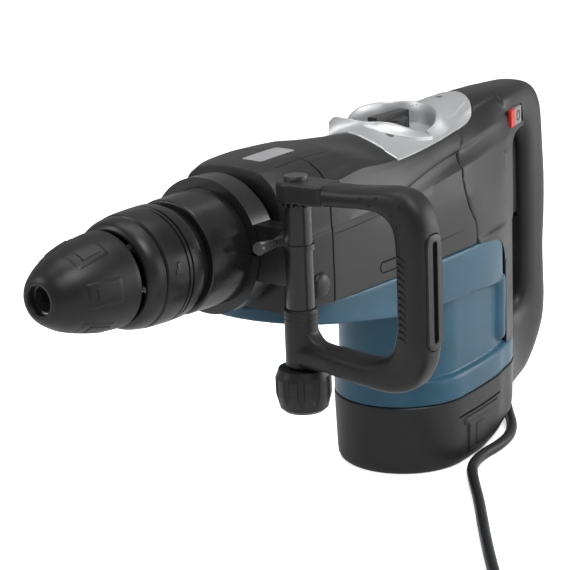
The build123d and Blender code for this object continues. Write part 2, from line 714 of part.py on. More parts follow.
def motor_housing():
    """Blue housing: a column round the motor, a ring below and a forward-reaching band above."""
    column = Pos(0, 0, CAP_Z) * extrude(plan_outline(MOTOR_R, 5, SPINE_X, 0), SEAM_Z - CAP_Z - NEST)
    ring = Pos(0, 0, CAP_Z) * extrude(plan_outline(CAP_R - 0.5, 5, SPINE_X, 0), 21)
    band = Pos(0, 0, 100) * extrude(bow_face(0), SEAM_Z - 100 - NEST) - below_bow()
    inner_column = Pos(0, 0, CAP_Z - 1) * extrude(plan_outline(MOTOR_R, 5, SPINE_X - WALL, 0, WALL), 130)
    inner_band = Pos(0, 0, 100) * extrude(bow_face(0, WALL), 100) - below_bow(WALL)
    return join([column, ring, band]) - inner_column - inner_band


# ---------------------------------------------------------------- rear handle
GRIP_HALF = 18.0
LOOP_Z0, LOOP_Z1 = 88.0, 248.0
GRIP_X = 163.0
HANDLE_X0 = BODY_REAR_X + NEST
SPINE_X0 = SPINE_X + NEST


def loop_face(inset=0.0):
    """Side profile of the loop: outer edge less the finger opening."""
    outer = [(LOOP_X - 14, 286), (172, 285), (196, 264), (197, 235), (HANDLE_REAR_X, 190), (199, 130),
             (HANDLE_REAR_X, 85), (196, 58), (170, 27), (LOOP_X + NEST, 15.5),
             (LOOP_X + NEST, CAP_Z + NEST), (LOOP_X - 14, CAP_Z + NEST)]
    face = make_face(Polyline(*[(x, 0, z) for x, z in outer], close=True))
    hole = Pos((LOOP_X + GRIP_X) / 2, 0, (LOOP_Z0 + LOOP_Z1) / 2) * Rot(90, 0, 0) * RectangleRounded(
        GRIP_X - LOOP_X, LOOP_Z1 - LOOP_Z0, 14)
    if inset > 0:
        face = offset(face, -inset)
        hole = offset(hole, inset)
    return face - hole


def slab(face, half):
    """Prism of an XZ face, the given half thickness each side of the middle plane."""
    return extrude(face, half, dir=(0, 1, 0), both=True)


def spine(inset=0.0):
    """Part of the handle behind the motor."""
    face = plan_outline(CAP_R - 1, 5.6, LOOP_X - inset, 0, inset)
    prism = Pos(0, 0, CAP_Z + NEST) * extrude(face, 200 - CAP_Z)
    return prism & block(SPINE_X0 + inset, 130, -60, 60, CAP_Z + NEST + inset, 200)


def handle_shell():
    """Whole rear handle, hollow, before it is split down the middle."""
    bridge_ends = [arch(LOOP_X - 0.5, 32, LOOP_Z1 + 2, 286, 24), arch(160, 20, LOOP_Z1 + 2, 285, 16)]
    top_bridge = loft(bridge_ends, ruled=True)
    stations = shifted(REAR_STATIONS, 0, NEST)
    outer = join([arch_loft(stations), spine(), slab(loop_face(), GRIP_HALF), top_bridge])
    opening = block(LOOP_X, GRIP_X, -60, 60, LOOP_Z0 + 14, LOOP_Z1 - 14)
    inner_body = arch_loft(shifted(shifted(REAR_STATIONS, 0, -1), -1, -WALL), WALL, SEAM_Z + WALL)
    inner_body = inner_body + spine(WALL)
    inner_grip = slab(loop_face(WALL), GRIP_HALF - WALL) & block(LOOP_X + 8, 300, -60, 60, 20, 300)
    return outer - opening - inner_body - inner_grip


def trigger_space():
    """Slot in the front of the grip for the trigger."""
    return block(GRIP_X - 2, GRIP_X + 8, -7.4, 7.4, 166, 241)


LOCK_TILT = -16.0         # the handle narrows to the rear by this angle in plan
LOCK_X, LOCK_Z = 131.0, 261.0
LOCK_Y = -28.0


def lock_place():
    """Placement of the lock slide on the left flank of the handle."""
    return Pos(LOCK_X, LOCK_Y, LOCK_Z) * Rot(0, 0, -LOCK_TILT)


def lock_pocket():
    """Pocket in which the lock slide runs."""
    return lock_place() * Box(38, 5, 14.4)


def lock_slide():
    """Slide that locks the trigger on."""
    return lock_place() * (Pos(-3, 0.4, 0) * Box(30, 3.2, 14.0) - Pos(8, -2.2, 0) * Box(1.5, 3, 9))


def lock_backing():
    """Plate behind the lock slide."""
    return lock_place() * Pos(0, 5.2, 0) * Box(44, 5, 19)


def rear_handle(side):
    """Left (side -1) or right (side +1) half shell."""
    half = block(0, 300, *sorted((side * NEST / 2, side * 100)), 0, 300)
    shape = (handle_shell() - silver_plan(0.15) - trigger_space()) & half
    guard_hole = GUARD_PLACE * Cylinder(GUARD_SEAT_R + NEST, 42)
    shape = shape - guard_hole
    if side < 0:
        shape = shape + (lock_backing() & half)
        shape = shape - lock_pocket()
    for x, z in HANDLE_SCREWS:
        shape = shape + (disc_y(x, z, *sorted((side * 0.05, side * 17.5)), 4.6) & half)
        if side > 0:
            shape = shape - disc_y(x, z, -1, 40, 3.6)
        else:
            shape = shape - disc_y(x, z, -9, 1, 2.0)
    return shape


HANDLE_SCREWS = [(192, 262), (193, 150), (190, 70), (140, 30)]


def handle_screws():
    """Screws that join the two handle halves, put in from the right."""
    screws = []
    for x, z in HANDLE_SCREWS:
        head = disc_y(x, z, 14.0, 17.0, 3.5)
        shank = disc_y(x, z, -8.5, 14.5, 1.9)
        screws.append(head + shank - disc_y(x, z, 15.6, 18, 1.6))
    return screws


def housing_screws():
    """All the screws of the silver cover, the base cap and the rear handle."""
    return group(top_cover_screws() + base_cap_screws() + handle_screws())


TRIGGER_PIVOT = (169.5, 236.0)
TRIGGER_BACK_X = 172.0


def trigger():
    """Long trigger that swings about a pin near its top."""
    x, z = TRIGGER_PIVOT
    profile = [(x - 3, z + 4), (158.5, 236), (155.5, 222), (155.5, 186), (158, 170), (TRIGGER_BACK_X, 170),
               (TRIGGER_BACK_X, z + 4)]
    face = make_face(Polyline(*[(px, 0, pz) for px, pz in profile], close=True))
    return slab(face, 7) - disc_y(x, z, -10, 10, 1.5 + FIT)


def trigger_pin():
    """Pin through the handle on which the trigger swings."""
    x, z = TRIGGER_PIVOT
    return disc_y(x, z, -14.8, 14.8, 1.5)


def trigger_spring():
    """Spring between the trigger and the switch."""
    wire_r = 0.5
    length = SWITCH_X - TRIGGER_BACK_X - 2 * wire_r - 0.2
    path = Helix(pitch=length / 4, height=length, radius=3.2)
    section = Plane(origin=path.position_at(0), z_dir=path.tangent_at(0)) * Circle(wire_r)
    return Pos(TRIGGER_BACK_X + wire_r + 0.1, 0, 182) * Rot(0, 90, 0) * sweep(section, path=path)


SWITCH_X = 182.0


def switch_body():
    """Switch block in the grip."""
    body = block(SWITCH_X, 195, -11, 11, 168, 214)
    plunger = block(SWITCH_X - 2, SWITCH_X + 1, -3, 3, 200, 206)
    return body + plunger


# ---------------------------------------------------------------- side handle
TUBE_Z0, TUBE_Z1 = 192.3, 265.2
ARM_TOP_Z, ARM_LOW_Z = 281.0, 150.0
HANDLE_HALF = 13.5
EYE_R = 4.0 + NEST
D_SPLIT_Y = -103.0


def clamp_band():
    """Painted steel band that grips the barrel."""
    band = disc_x(BAND_X0, BAND_X1, BAND_R, BARREL_R + GAP)
    return band - block(BAND_X0 - 1, BAND_X1 + 1, -60, -30, SPINDLE_Z - 1.2, SPINDLE_Z + 1.2)


def clamp_base():
    """Block that joins the band to the upright post tube."""
    bridge = block(BAND_X0 + 1, BAND_X1 - 1, POST_Y + 3, -40, 208, 248)
    tube = disc_z(POST_X, POST_Y, TUBE_Z0, TUBE_Z1, POST_R)
    collar = disc_z(POST_X, POST_Y, 233, 237, POST_R + 1.2)
    shape = bridge + tube + collar
    shape = shape - disc_x(BAND_X0 - 5, BAND_X1 + 5, BAND_R + NEST)
    return shape - disc_z(POST_X, POST_Y, 100, 300, EYE_R)


def index_peg():
    """Small tapered peg that sets the side handle's angle."""
    front = Plane(origin=(-252, -62, 237), z_dir=(1, 0, 0)) * Circle(4.6)
    rear = Plane(origin=(BAND_X0 + 0.9, -62, 237), z_dir=(1, 0, 0)) * Circle(2.8)
    return loft([front, rear], ruled=True)


def tie_bolt():
    """Long bolt through the side handle and the post."""
    shank = disc_z(POST_X, POST_Y, 122, 282, 4.0)
    cap = disc_z(POST_X, POST_Y, ARM_TOP_Z + NEST, 284.2, 8.0)
    return shank + cap


def clamp_knob():
    """Scalloped nut under the side handle."""
    body = turned_z(POST_X, POST_Y, [(EYE_R, 119), (14.0, 119), (16.8, 121.5), (KNOB_R, 132), (KNOB_R, 143),
                                    (17.0, 149.4), (EYE_R, 149.4)])
    groove = disc_z(POST_X + KNOB_R + 1.2, POST_Y, 118, 145, 3.0)
    for cut in around_upright(groove, POST_X, POST_Y, 11, 16):
        body = body - cut
    return body


def d_outline():
    """Front view of the D handle as a face in the YZ plane at the post."""
    post = POST_Y
    outer = [(post + 13, ARM_TOP_Z), (post - 12, ARM_TOP_Z), (post - 28, ARM_TOP_Z + 0.5),
             (post - 90, 285), (post - 105, 277), (post - 110, 262), (post - 111, 176), (post - 103, 158),
             (post - 85, 146), (post - 28, ARM_LOW_Z), (post + 11.7, ARM_LOW_Z),
             (post + 11.7, TUBE_Z0 - GAP), (post - 11.7, TUBE_Z0 - GAP), (post - 13, 178), (post - 22, 169),
             (post - 60, 165.5), (post - 78, 171), (post - 84.5, 183), (post - 85, 255), (post - 80, 265),
             (post - 70, 268.5), (post - 30, 267), (post + 13, TUBE_Z1 + GAP)]
    return make_face(Polyline(*[(POST_X, y, z) for y, z in outer], close=True))


def d_core_face():
    """Stiff core inside the rubber part of the side handle."""
    post = POST_Y
    points = [(post - 26, 278), (post - 88, 280.5), (post - 100, 273), (post - 104.5, 260),
              (post - 105, 178), (post - 97, 163), (post - 83, 152), (post - 26, 154.5), (post - 26, 165),
              (post - 62, 161), (post - 84, 168), (post - 90, 182), (post - 90, 256), (post - 84, 268),
              (post - 70, 272.5), (post - 26, 271)]
    return make_face(Polyline(*[(POST_X, y, z) for y, z in points], close=True))


def slab_x(face, half):
    """Prism of a YZ face, the given half thickness each side."""
    return extrude(face, half, dir=(1, 0, 0), both=True)


def d_handle_whole():
    """Side handle with rounded lower sleeve, before it is split into core and rubber."""
    slab_part = slab_x(d_outline(), HANDLE_HALF)
    sleeve_zone = block(POST_X - 20, POST_X + 20, POST_Y - 12, POST_Y + 20, 172, TUBE_Z0)
    sleeve = disc_z(POST_X, POST_Y, 150, TUBE_Z0 - GAP, 11.7)
    return (slab_part - sleeve_zone) + sleeve


def d_handle_frame():
    """Stiff part: both arm roots, the lower sleeve and the core of the grip."""
    whole = d_handle_whole()
    roots = whole & block(-300, -100, D_SPLIT_Y, 0, 100, 300)
    core = slab_x(d_core_face(), 7) & block(-300, -100, -300, D_SPLIT_Y + 1, 100, 300)
    frame = roots + core
    return frame - disc_z(POST_X, POST_Y, 100, 300, EYE_R)


def d_handle_grip():
    """Rubber overmould of the side handle."""
    whole = d_handle_whole() & block(-300, -100, -300, D_SPLIT_Y - NEST, 100, 300)
    return whole - slab_x(d_core_face(), 7) - insert_block(0.1)


def insert_block(gap=0.0):
    """Oval pad let into the outer face of the grip."""
    plane = Plane(origin=(POST_X, POST_Y - 111.5, 219), x_dir=(1, 0, 0), z_dir=(0, 1, 0))
    return extrude(plane * SlotOverall(88 + 2 * gap, 20 + 2 * gap, rotation=90), 3.5 + gap)


def grip_insert():
    """Hard pad with a groove down its middle."""
    groove = block(POST_X - 1.5, POST_X + 1.5, POST_Y - 113, POST_Y - 109.5, 184, 254)
    return (insert_block() & block(-300, 0, POST_Y - 111.2, 0, 100, 300)) - groove


# ---------------------------------------------------------------- power cord
GUARD_START = Vector(158.4, 9.2, 27.2)
GUARD_DIRECTION = Vector(-0.70, -0.60, -0.38).normalized()
GUARD_LENGTH = 40.0
GUARD_SEAT_R = 6.4
GUARD_END_R = 5.3
GUARD_END = GUARD_START + GUARD_DIRECTION * GUARD_LENGTH
GUARD_PLACE = Location(Plane(GUARD_START + GUARD_DIRECTION * 20, x_dir=(0, 0, 1), z_dir=GUARD_DIRECTION))
FLOOR_RUN = (GUARD_END.Z - CORD_R) / -GUARD_DIRECTION.Z
LANDING = GUARD_END + GUARD_DIRECTION * FLOOR_RUN

# free end of the cord from the floor behind the base cap to the coil, lying on the floor
ROUTE = [(95.6, -43.6, CORD_R), (70.6, -57.8, CORD_R), (43.0, -63.6, CORD_R), (16.6, -63.4, CORD_R),
         (-9.0, -70.0, CORD_R), (-36.0, -90.0, CORD_R), (-70.0, -117.0, CORD_R), (-114.0, -149.0, CORD_R),
         (-170.0, -192.0, CORD_R), (-232.0, -244.0, CORD_R), (-285.0, -294.3, CORD_R)]
COIL_X, COIL_Y = -240.7, -341.1
COIL_OUTER_R = COIL_TURN_D / 2 + 2 * CORD_D
COIL_INNER_R = COIL_TURN_D / 2 - 2 * CORD_D
COIL_HEIGHT = 4 * CORD_D
PLUG_AXIS_Z = 13.0
TAIL = [(COIL_X - 2, COIL_Y - 61.0, 31.0), (COIL_X + 28, COIL_Y - 64.5, 29.5),
        (COIL_X + 56, COIL_Y - 69.0, 21.5), (COIL_X + 82, COIL_Y - 73.5, 13.6),
        (COIL_X + 104, COIL_Y - 74.0, PLUG_AXIS_Z)]
PLUG_X = TAIL[-1][0]
PLUG_Y = TAIL[-1][1]
PIN_R = 2.4
PIN_SPACING = 19.0


def corner_radii(points):
    """Largest arc that fits each corner of a route, 0.45 of the shorter run."""
    radii = []
    for before, here, after in zip(points, points[1:], points[2:]):
        first = Vector(*here) - Vector(*before)
        second = Vector(*after) - Vector(*here)
        half_turn = math.radians(first.get_angle(second)) / 2
        radii.append(0.45 * min(first.length, second.length) / math.tan(half_turn))
    return radii


def tube(points, label):
    """Round tube along straight runs joined by tangent arcs."""
    radii = corner_radii(points)
    print(label, "bend radii in mm:", [round(radius) for radius in radii])
    path = FilletPolyline(*points, radius=radii)
    section = Plane(path.position_at(0), z_dir=path.tangent_at(0)) * Circle(CORD_R)
    solid = sweep(section, path=path)
    expected = math.pi * CORD_R ** 2 * path.length
    print(label, "volume over section times length:", round(solid.volume / expected, 4))
    return solid


def cord_guard():
    """Tapered rubber strain relief with rings, where the cord leaves the handle."""
    plane = Plane(GUARD_START, x_dir=(0, 0, 1), z_dir=GUARD_DIRECTION)
    end_plane = Plane(GUARD_END, x_dir=(0, 0, 1), z_dir=GUARD_DIRECTION)
    return loft([plane * Circle(GUARD_SEAT_R), end_plane * Circle(GUARD_END_R)], ruled=True)


def coil_space():
    """Ring that the coiled length of the cord fills."""
    return disc_z(COIL_X, COIL_Y, 0, COIL_HEIGHT, COIL_OUTER_R, COIL_INNER_R)


def power_cord():
    """Cord from the guard to the coil, and from the coil to the plug."""
    start = [(GUARD_END.X, GUARD_END.Y, GUARD_END.Z), (LANDING.X, LANDING.Y, LANDING.Z)]
    lead = tube(start + ROUTE, "lead") - coil_space()
    tail = tube(TAIL, "tail") - coil_space()
    return group([lead, tail])


def plug_body():
    """Moulded plug lying on the floor, with a tapered strain relief."""
    start, relief_end, front = [
        Plane(origin=(PLUG_X + along, PLUG_Y, PLUG_AXIS_Z), x_dir=(0, 1, 0), z_dir=(1, 0, 0))
        for along in (0, 20, 54)]
    relief = loft([start * Circle(5.6), relief_end * Circle(8.0)], ruled=True)
    sections = [relief_end * RectangleRounded(24, 20, 8), front * RectangleRounded(36, 2 * PLUG_AXIS_Z, 10)]
    return relief + loft(sections, ruled=True)


def plug_pins():
    """Two round contact pins."""
    x0 = PLUG_X + 54
    pin_ys = [PLUG_Y + side * PIN_SPACING / 2 for side in (-1, 1)]
    return group([disc_x(x0, x0 + 19, PIN_R, y=y, z=PLUG_AXIS_Z) for y in pin_ys])


# ---------------------------------------------------------------- all nodes
def main():
    """Build and write every node."""
    nodes = {
        "dust_cap": dust_cap,
        "tool_holder": tool_holder,
        "cap_retaining_ring": cap_retaining_ring,
        "locking_roller_top": lambda: locking_roller(1),
        "locking_roller_bottom": lambda: locking_roller(-1),
        "release_sleeve": release_sleeve,
        "sleeve_spring": sleeve_spring,
        "oil_seal": oil_seal,
        "needle_bearings": needle_bearings,
        "cylinder": cylinder,
        "impact_bolt": impact_bolt,
        "ram": ram,
        "piston": piston,
        "wrist_pin": wrist_pin,
        "connecting_rod": connecting_rod,
        "crankshaft": crankshaft,
        "crank_gear": crank_gear,
        "ball_bearings": ball_bearings,
        "layshaft": layshaft,
        "bevel_ring_gear": bevel_ring_gear,
        "bearing_plate": bearing_plate,
        "crank_case": crank_case,
        "crank_case_cover": crank_case_cover,
        "barrel_housing": barrel_housing,
        "front_cover": front_cover,
        "body_cover": body_cover,
        "top_cover": top_cover,
        "mode_lever": mode_lever,
        "motor_housing": motor_housing,
        "base_cap": base_cap,
        "end_bracket": end_bracket,
        "armature_shaft": armature_shaft,
        "armature_core": armature_core,
        "commutator": commutator,
        "cooling_fan": cooling_fan,
        "stator_core": stator_core,
        "field_coils": field_coils,
        "carbon_brushes": carbon_brushes,
        "brush_holders": brush_holders,
        "rear_handle_left": lambda: rear_handle(-1),
        "rear_handle_right": lambda: rear_handle(1),
        "housing_screws": housing_screws,
        "trigger": trigger,
        "trigger_pin": trigger_pin,
        "trigger_spring": trigger_spring,
        "switch_body": switch_body,
        "lock_slide": lock_slide,
        "clamp_band": clamp_band,
        "clamp_base": clamp_base,
        "index_peg": index_peg,
        "tie_bolt": tie_bolt,
        "clamp_knob": clamp_knob,
        "d_handle_frame": d_handle_frame,
        "d_handle_grip": d_handle_grip,
        "grip_insert": grip_insert,
        "cord_guard": cord_guard,
        "power_cord": power_cord,
        "cord_coil": coil_space,
        "plug_body": plug_body,
        "plug_pins": plug_pins,
    }
    for node, make in nodes.items():
        save(make(), node)


main()
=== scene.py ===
"""Looks of the electric hammer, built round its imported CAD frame.  Metres, same frame as the CAD."""
import json
import math

import bmesh
import bpy
from mathutils import Matrix, Vector


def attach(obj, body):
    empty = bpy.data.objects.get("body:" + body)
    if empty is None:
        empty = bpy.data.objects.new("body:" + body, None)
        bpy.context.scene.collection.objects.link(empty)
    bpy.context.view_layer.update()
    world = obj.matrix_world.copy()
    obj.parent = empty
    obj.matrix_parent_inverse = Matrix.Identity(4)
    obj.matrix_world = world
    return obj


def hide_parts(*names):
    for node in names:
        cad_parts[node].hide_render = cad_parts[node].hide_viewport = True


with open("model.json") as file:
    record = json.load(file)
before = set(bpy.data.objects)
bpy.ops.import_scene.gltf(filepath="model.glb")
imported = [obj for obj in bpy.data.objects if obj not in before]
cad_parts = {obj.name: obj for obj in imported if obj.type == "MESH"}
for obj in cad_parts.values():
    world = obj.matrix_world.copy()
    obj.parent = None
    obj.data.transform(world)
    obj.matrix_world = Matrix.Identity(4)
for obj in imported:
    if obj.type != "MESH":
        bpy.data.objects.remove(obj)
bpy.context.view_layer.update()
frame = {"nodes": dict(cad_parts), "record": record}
NODES = frame["nodes"]

MM = 0.001


# ---------------------------------------------------------------- camera
LENS_MM = 117.42
AIM = Vector((-148.8, 0.0, 178.4)) * MM
DISTANCE = 1375.4 * MM
AZIMUTH_DEG, ELEVATION_DEG, ROLL_DEG = -50.951, 15.409, -2.405


def add_camera():
    """Camera at the fitted viewpoint."""
    data = bpy.data.cameras.new("camera")
    data.sensor_width = 36.0
    data.lens = LENS_MM
    data.clip_start = 0.05
    data.clip_end = 50.0
    camera = bpy.data.objects.new("camera", data)
    bpy.context.scene.collection.objects.link(camera)
    azimuth, elevation, roll = (math.radians(a) for a in (AZIMUTH_DEG, ELEVATION_DEG, ROLL_DEG))
    back = Vector((math.sin(azimuth) * math.cos(elevation), -math.cos(azimuth) * math.cos(elevation),
                   math.sin(elevation)))
    camera.location = AIM + back * DISTANCE
    turn = (-back).to_track_quat("-Z", "Y").to_matrix().to_4x4()
    camera.matrix_world = Matrix.Translation(camera.location) @ turn @ Matrix.Rotation(roll, 4, "Z")
    bpy.context.scene.camera = camera


add_camera()


# ---------------------------------------------------------------- helpers
SPINDLE_Z = 227.5


def smooth_points(points, steps):
    """Catmull-Rom curve through a list of tuples, steps points per span."""
    ends = [points[0]] + list(points) + [points[-1]]
    curve = []
    for before, start, end, after in zip(ends, ends[1:], ends[2:], ends[3:]):
        for step in range(steps):
            t = step / steps
            curve.append(tuple(
                0.5 * (2 * b + (c - a) * t + (2 * a - 5 * b + 4 * c - d) * t * t
                       + (3 * b - a - 3 * c + d) * t ** 3)
                for a, b, c, d in zip(before, start, end, after)))
    curve.append(tuple(points[-1]))
    return curve


def rounded(points, steps=4):
    """Closed polygon with arcs at its corners, from (u, v, radius) or (u, v) with no arc."""
    result = []
    for i, point in enumerate(points):
        radius = point[2] if len(point) > 2 else 0.0
        here = Vector(point[:2])
        if radius <= 0:
            result.append(tuple(here))
            continue
        to_before = Vector(points[i - 1][:2]) - here
        to_after = Vector(points[(i + 1) % len(points)][:2]) - here
        half = to_before.angle(to_after) / 2
        reach = min(radius / math.tan(half), 0.48 * to_before.length, 0.48 * to_after.length)
        first = here + to_before.normalized() * reach
        last = here + to_after.normalized() * reach
        for step in range(steps + 1):
            t = step / steps
            result.append(tuple(first * (1 - t) ** 2 + here * 2 * t * (1 - t) + last * t * t))
    return result


def rounded_box(u0, u1, v0, v1, radius, steps=4):
    """Rectangle with rounded corners."""
    return rounded([(u0, v0, radius), (u1, v0, radius), (u1, v1, radius), (u0, v1, radius)], steps)


def mesh_from(name, verts, faces, sharp=35.0):
    """Smooth-shaded mesh from points in millimetres."""
    mesh = bpy.data.meshes.new(name)
    mesh.from_pydata([(x * MM, y * MM, z * MM) for x, y, z in verts], [], faces)
    mesh.update()
    tidy = bmesh.new()
    tidy.from_mesh(mesh)
    bmesh.ops.remove_doubles(tidy, verts=tidy.verts, dist=1e-6)
    bmesh.ops.recalc_face_normals(tidy, faces=tidy.faces)
    tidy.to_mesh(mesh)
    tidy.free()
    shade(mesh, sharp)
    return mesh


def shade(mesh, sharp=35.0):
    """Smooth shading with sharp edges above an angle."""
    for polygon in mesh.polygons:
        polygon.use_smooth = True
    mesh.set_sharp_from_angle(angle=math.radians(sharp))


def ring_mesh(name, rings, wrap=False, sharp=35.0):
    """Surface through closed rings of equal length, with end faces unless it wraps round."""
    verts = [point for ring in rings for point in ring]
    size = len(rings[0])
    faces = []
    spans = len(rings) if wrap else len(rings) - 1
    for i in range(spans):
        here = i * size
        there = ((i + 1) % len(rings)) * size
        for j in range(size):
            k = (j + 1) % size
            faces.append((here + j, here + k, there + k, there + j))
    if not wrap:
        faces.append(tuple(reversed(range(size))))
        faces.append(tuple(range((len(rings) - 1) * size, len(rings) * size)))
    return mesh_from(name, verts, faces, sharp)


def slab_faces(columns, rows):
    """Faces of a slab from two stacked grids of points, closed round their border."""
    width = rows + 1
    shift = (columns + 1) * width
    faces = []
    for i in range(columns):
        for j in range(rows):
            a = i * width + j
            b, c, d = a + 1, a + width + 1, a + width
            faces.append((a, b, c, d))
            faces.append((shift + d, shift + c, shift + b, shift + a))
    border = (list(range(width)) + [i * width + rows for i in range(1, columns + 1)]
              + [columns * width + j for j in range(rows - 1, -1, -1)]
              + [i * width for i in range(columns - 1, 0, -1)])
    for a, b in zip(border, border[1:] + border[:1]):
        faces.append((a, shift + a, shift + b, b))
    return faces


def interpolate(pairs, value):
    """Linear look-up in (key, result) pairs."""
    if value <= pairs[0][0]:
        return pairs[0][1]
    for (k0, r0), (k1, r1) in zip(pairs, pairs[1:]):
        if value <= k1:
            return r0 + (r1 - r0) * (value - k0) / (k1 - k0)
    return pairs[-1][1]


def pad_mesh(columns, rows, us, vs, edge, place):
    """Raised pad; place maps (u, v, share of its height) to an outer and an inner point."""
    outer, inner = [], []
    for i in range(columns + 1):
        u = us[0] + (us[1] - us[0]) * i / columns
        for j in range(rows + 1):
            v = vs[0] + (vs[1] - vs[0]) * j / rows
            inside = min(u - us[0], us[1] - u, v - vs[0], vs[1] - v)
            high, low = place(u, v, min(1, inside / edge))
            outer.append(high)
            inner.append(low)
    return mesh_from("pad", outer + inner, slab_faces(columns, rows))


def tube_rings(pairs, half_depths, power, points, steps, place):
    """Superellipse rings between two side profiles; place maps (u, depth, v) to (x, y, z)."""
    outer = smooth_points([pair[0] for pair in pairs], steps)
    inner = smooth_points([pair[1] for pair in pairs], steps)
    depths = smooth_points([(d,) for d in half_depths], steps)
    rings = []
    for (u_out, v_out), (u_in, v_in), (depth,) in zip(outer, inner, depths):
        u_mid, v_mid = (u_out + u_in) / 2, (v_out + v_in) / 2
        ring = []
        for k in range(points):
            angle = 2 * math.pi * k / points
            c, s = math.cos(angle), math.sin(angle)
            across = math.copysign(abs(c) ** (2 / power), c)
            deep = math.copysign(abs(s) ** (2 / power), s) * depth
            ring.append(place(u_mid + (u_out - u_mid) * across, deep, v_mid + (v_out - v_mid) * across))
        rings.append(ring)
    return rings


def turned(name, segments, section, sharp=35.0):
    """Lathe: section gives the ring of points for the cosine and sine of an angle."""
    angles = [2 * math.pi * i / segments for i in range(segments)]
    return ring_mesh(name, [section(math.cos(a), math.sin(a)) for a in angles], wrap=True, sharp=sharp)


def turned_x(name, profile, segments, sharp=35.0):
    """Lathe a closed (x, radius) outline about the barrel's axis."""
    return turned(name, segments, lambda c, s: [(x, r * c, SPINDLE_Z + r * s) for x, r in profile], sharp)


def turned_y(name, profile, x, z, side):
    """Lathe a closed (radius, distance along y) outline about an axis along Y."""
    return turned(name, 64, lambda c, s: [(x + r * c, side * along, z + r * s) for r, along in profile])


def turned_z(name, profile, x, y, segments=96):
    """Lathe a closed (radius, z) outline about an upright axis."""
    return turned(name, segments, lambda c, s: [(x + r * c, y + r * s, z) for r, z in profile])


def along_axis(axis, u, v, w):
    """Point with w along the named axis and u, v on the other two."""
    return {"x": (w, u, v), "y": (u, w, v), "z": (u, v, w)}[axis]


def prism(name, outline, axis, low, high):
    """Extrude a closed 2-D outline along an axis ('x', 'y' or 'z') from low to high."""
    rings = [[along_axis(axis, u, v, w) for u, v in outline] for w in (low, high)]
    return ring_mesh(name, rings)


def soft_prism(name, outline, axis, low, high, edge):
    """Prism with rounded rims: the outline shrinks by edge at both ends."""
    centre_u = sum(u for u, v in outline) / len(outline)
    centre_v = sum(v for u, v in outline) / len(outline)
    reach = max(math.hypot(u - centre_u, v - centre_v) for u, v in outline)
    share = (reach - edge) / reach
    mid = (reach - edge * 0.3) / reach
    levels = [(low, share), (low + edge * 0.3, mid), (low + edge, 1.0), (high - edge, 1.0),
              (high - edge * 0.3, mid), (high, share)]
    rings = [[along_axis(axis, centre_u + (u - centre_u) * s, centre_v + (v - centre_v) * s, w)
              for u, v in outline] for w, s in levels]
    return ring_mesh(name, rings, sharp=50.0)


def loose(name, data):
    """New object in the scene."""
    piece = bpy.data.objects.new(name, data)
    bpy.context.scene.collection.objects.link(piece)
    return piece


def add_piece(name, mesh, body, material, replaced=()):
    """New object that rides on a body and may stand for CAD nodes; its slot is named as its material."""
    piece = loose(name, mesh)
    mesh.materials.clear()
    mesh.materials.append(MATERIALS[material])
    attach(piece, body)
    if replaced:
        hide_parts(*replaced)


def bake(piece, sharp):
    """Apply an object's modifiers and return the new mesh."""
    bpy.context.view_layer.update()
    graph = bpy.context.evaluated_depsgraph_get()
    mesh = bpy.data.meshes.new_from_object(piece.evaluated_get(graph))
    name = piece.name
    bpy.data.objects.remove(piece)
    mesh.name = name
    shade(mesh, sharp)
    return mesh


def joined(name, meshes):
    """Put several meshes into one, without merging."""
    gather = bmesh.new()
    for mesh in meshes:
        gather.from_mesh(mesh)
    mesh = bpy.data.meshes.new(name)
    gather.to_mesh(mesh)
    gather.free()
    shade(mesh)
    return mesh


def fused(name, meshes, voxel, rounds, sharp=60.0):
    """Fuse overlapping meshes into one skin and soften its edges."""
    piece = loose(name, joined(name, meshes))
    remesh = piece.modifiers.new("remesh", "REMESH")
    remesh.mode = "VOXEL"
    remesh.voxel_size = voxel * MM
    remesh.adaptivity = 0.0
    soften = piece.modifiers.new("soften", "SMOOTH")
    soften.factor = 0.5
    soften.iterations = rounds
    return bake(piece, sharp)


def carved(mesh, cutters, sharp=35.0):
    """Subtract cutter meshes from a closed mesh."""
    piece = loose(mesh.name, mesh)
    tool = loose("cutter", joined("cutter", cutters))
    cut = piece.modifiers.new("cut", "BOOLEAN")
    cut.operation = "DIFFERENCE"
    cut.solver = "EXACT"
    cut.use_self = True
    cut.object = tool
    result = bake(piece, sharp)
    bpy.data.objects.remove(tool)
    return result


def box_mesh(name, x0, x1, y0, y1, z0, z1, edge=0.0):
    """Box, with rounded upright edges if edge is given."""
    return prism(name, rounded_box(x0, x1, y0, y1, edge), "z", z0, z1)


# ---------------------------------------------------------------- materials
MATT_SPECULAR = 0.22
FINE_GRAIN = 2000


def new_material(name, colour, roughness, metallic=0.0):
    """Material with a plain Principled shader and a node for object coordinates."""
    material = bpy.data.materials.new(name)
    material.use_nodes = True
    nodes = material.node_tree.nodes
    shader = nodes["Principled BSDF"]
    shader.inputs["Base Color"].default_value = (*colour, 1.0)
    shader.inputs["Roughness"].default_value = roughness
    shader.inputs["Metallic"].default_value = metallic
    shader.inputs["Specular IOR Level"].default_value = 0.5 if metallic else MATT_SPECULAR
    place = nodes.new("ShaderNodeTexCoord")
    place.name = "place"
    return material


def tree_of(material):
    """Nodes, links and shader of a material."""
    tree = material.node_tree
    return tree.nodes, tree.links, tree.nodes["Principled BSDF"]


def noise(material, scale, detail, stretch=(1, 1, 1)):
    """Noise texture node in object coordinates, scale in waves per metre."""
    nodes, links, _ = tree_of(material)
    mapping = nodes.new("ShaderNodeMapping")
    mapping.inputs["Scale"].default_value = stretch
    links.new(nodes["place"].outputs["Object"], mapping.inputs["Vector"])
    texture = nodes.new("ShaderNodeTexNoise")
    texture.inputs["Scale"].default_value = scale
    texture.inputs["Detail"].default_value = detail
    links.new(mapping.outputs["Vector"], texture.inputs["Vector"])
    return texture


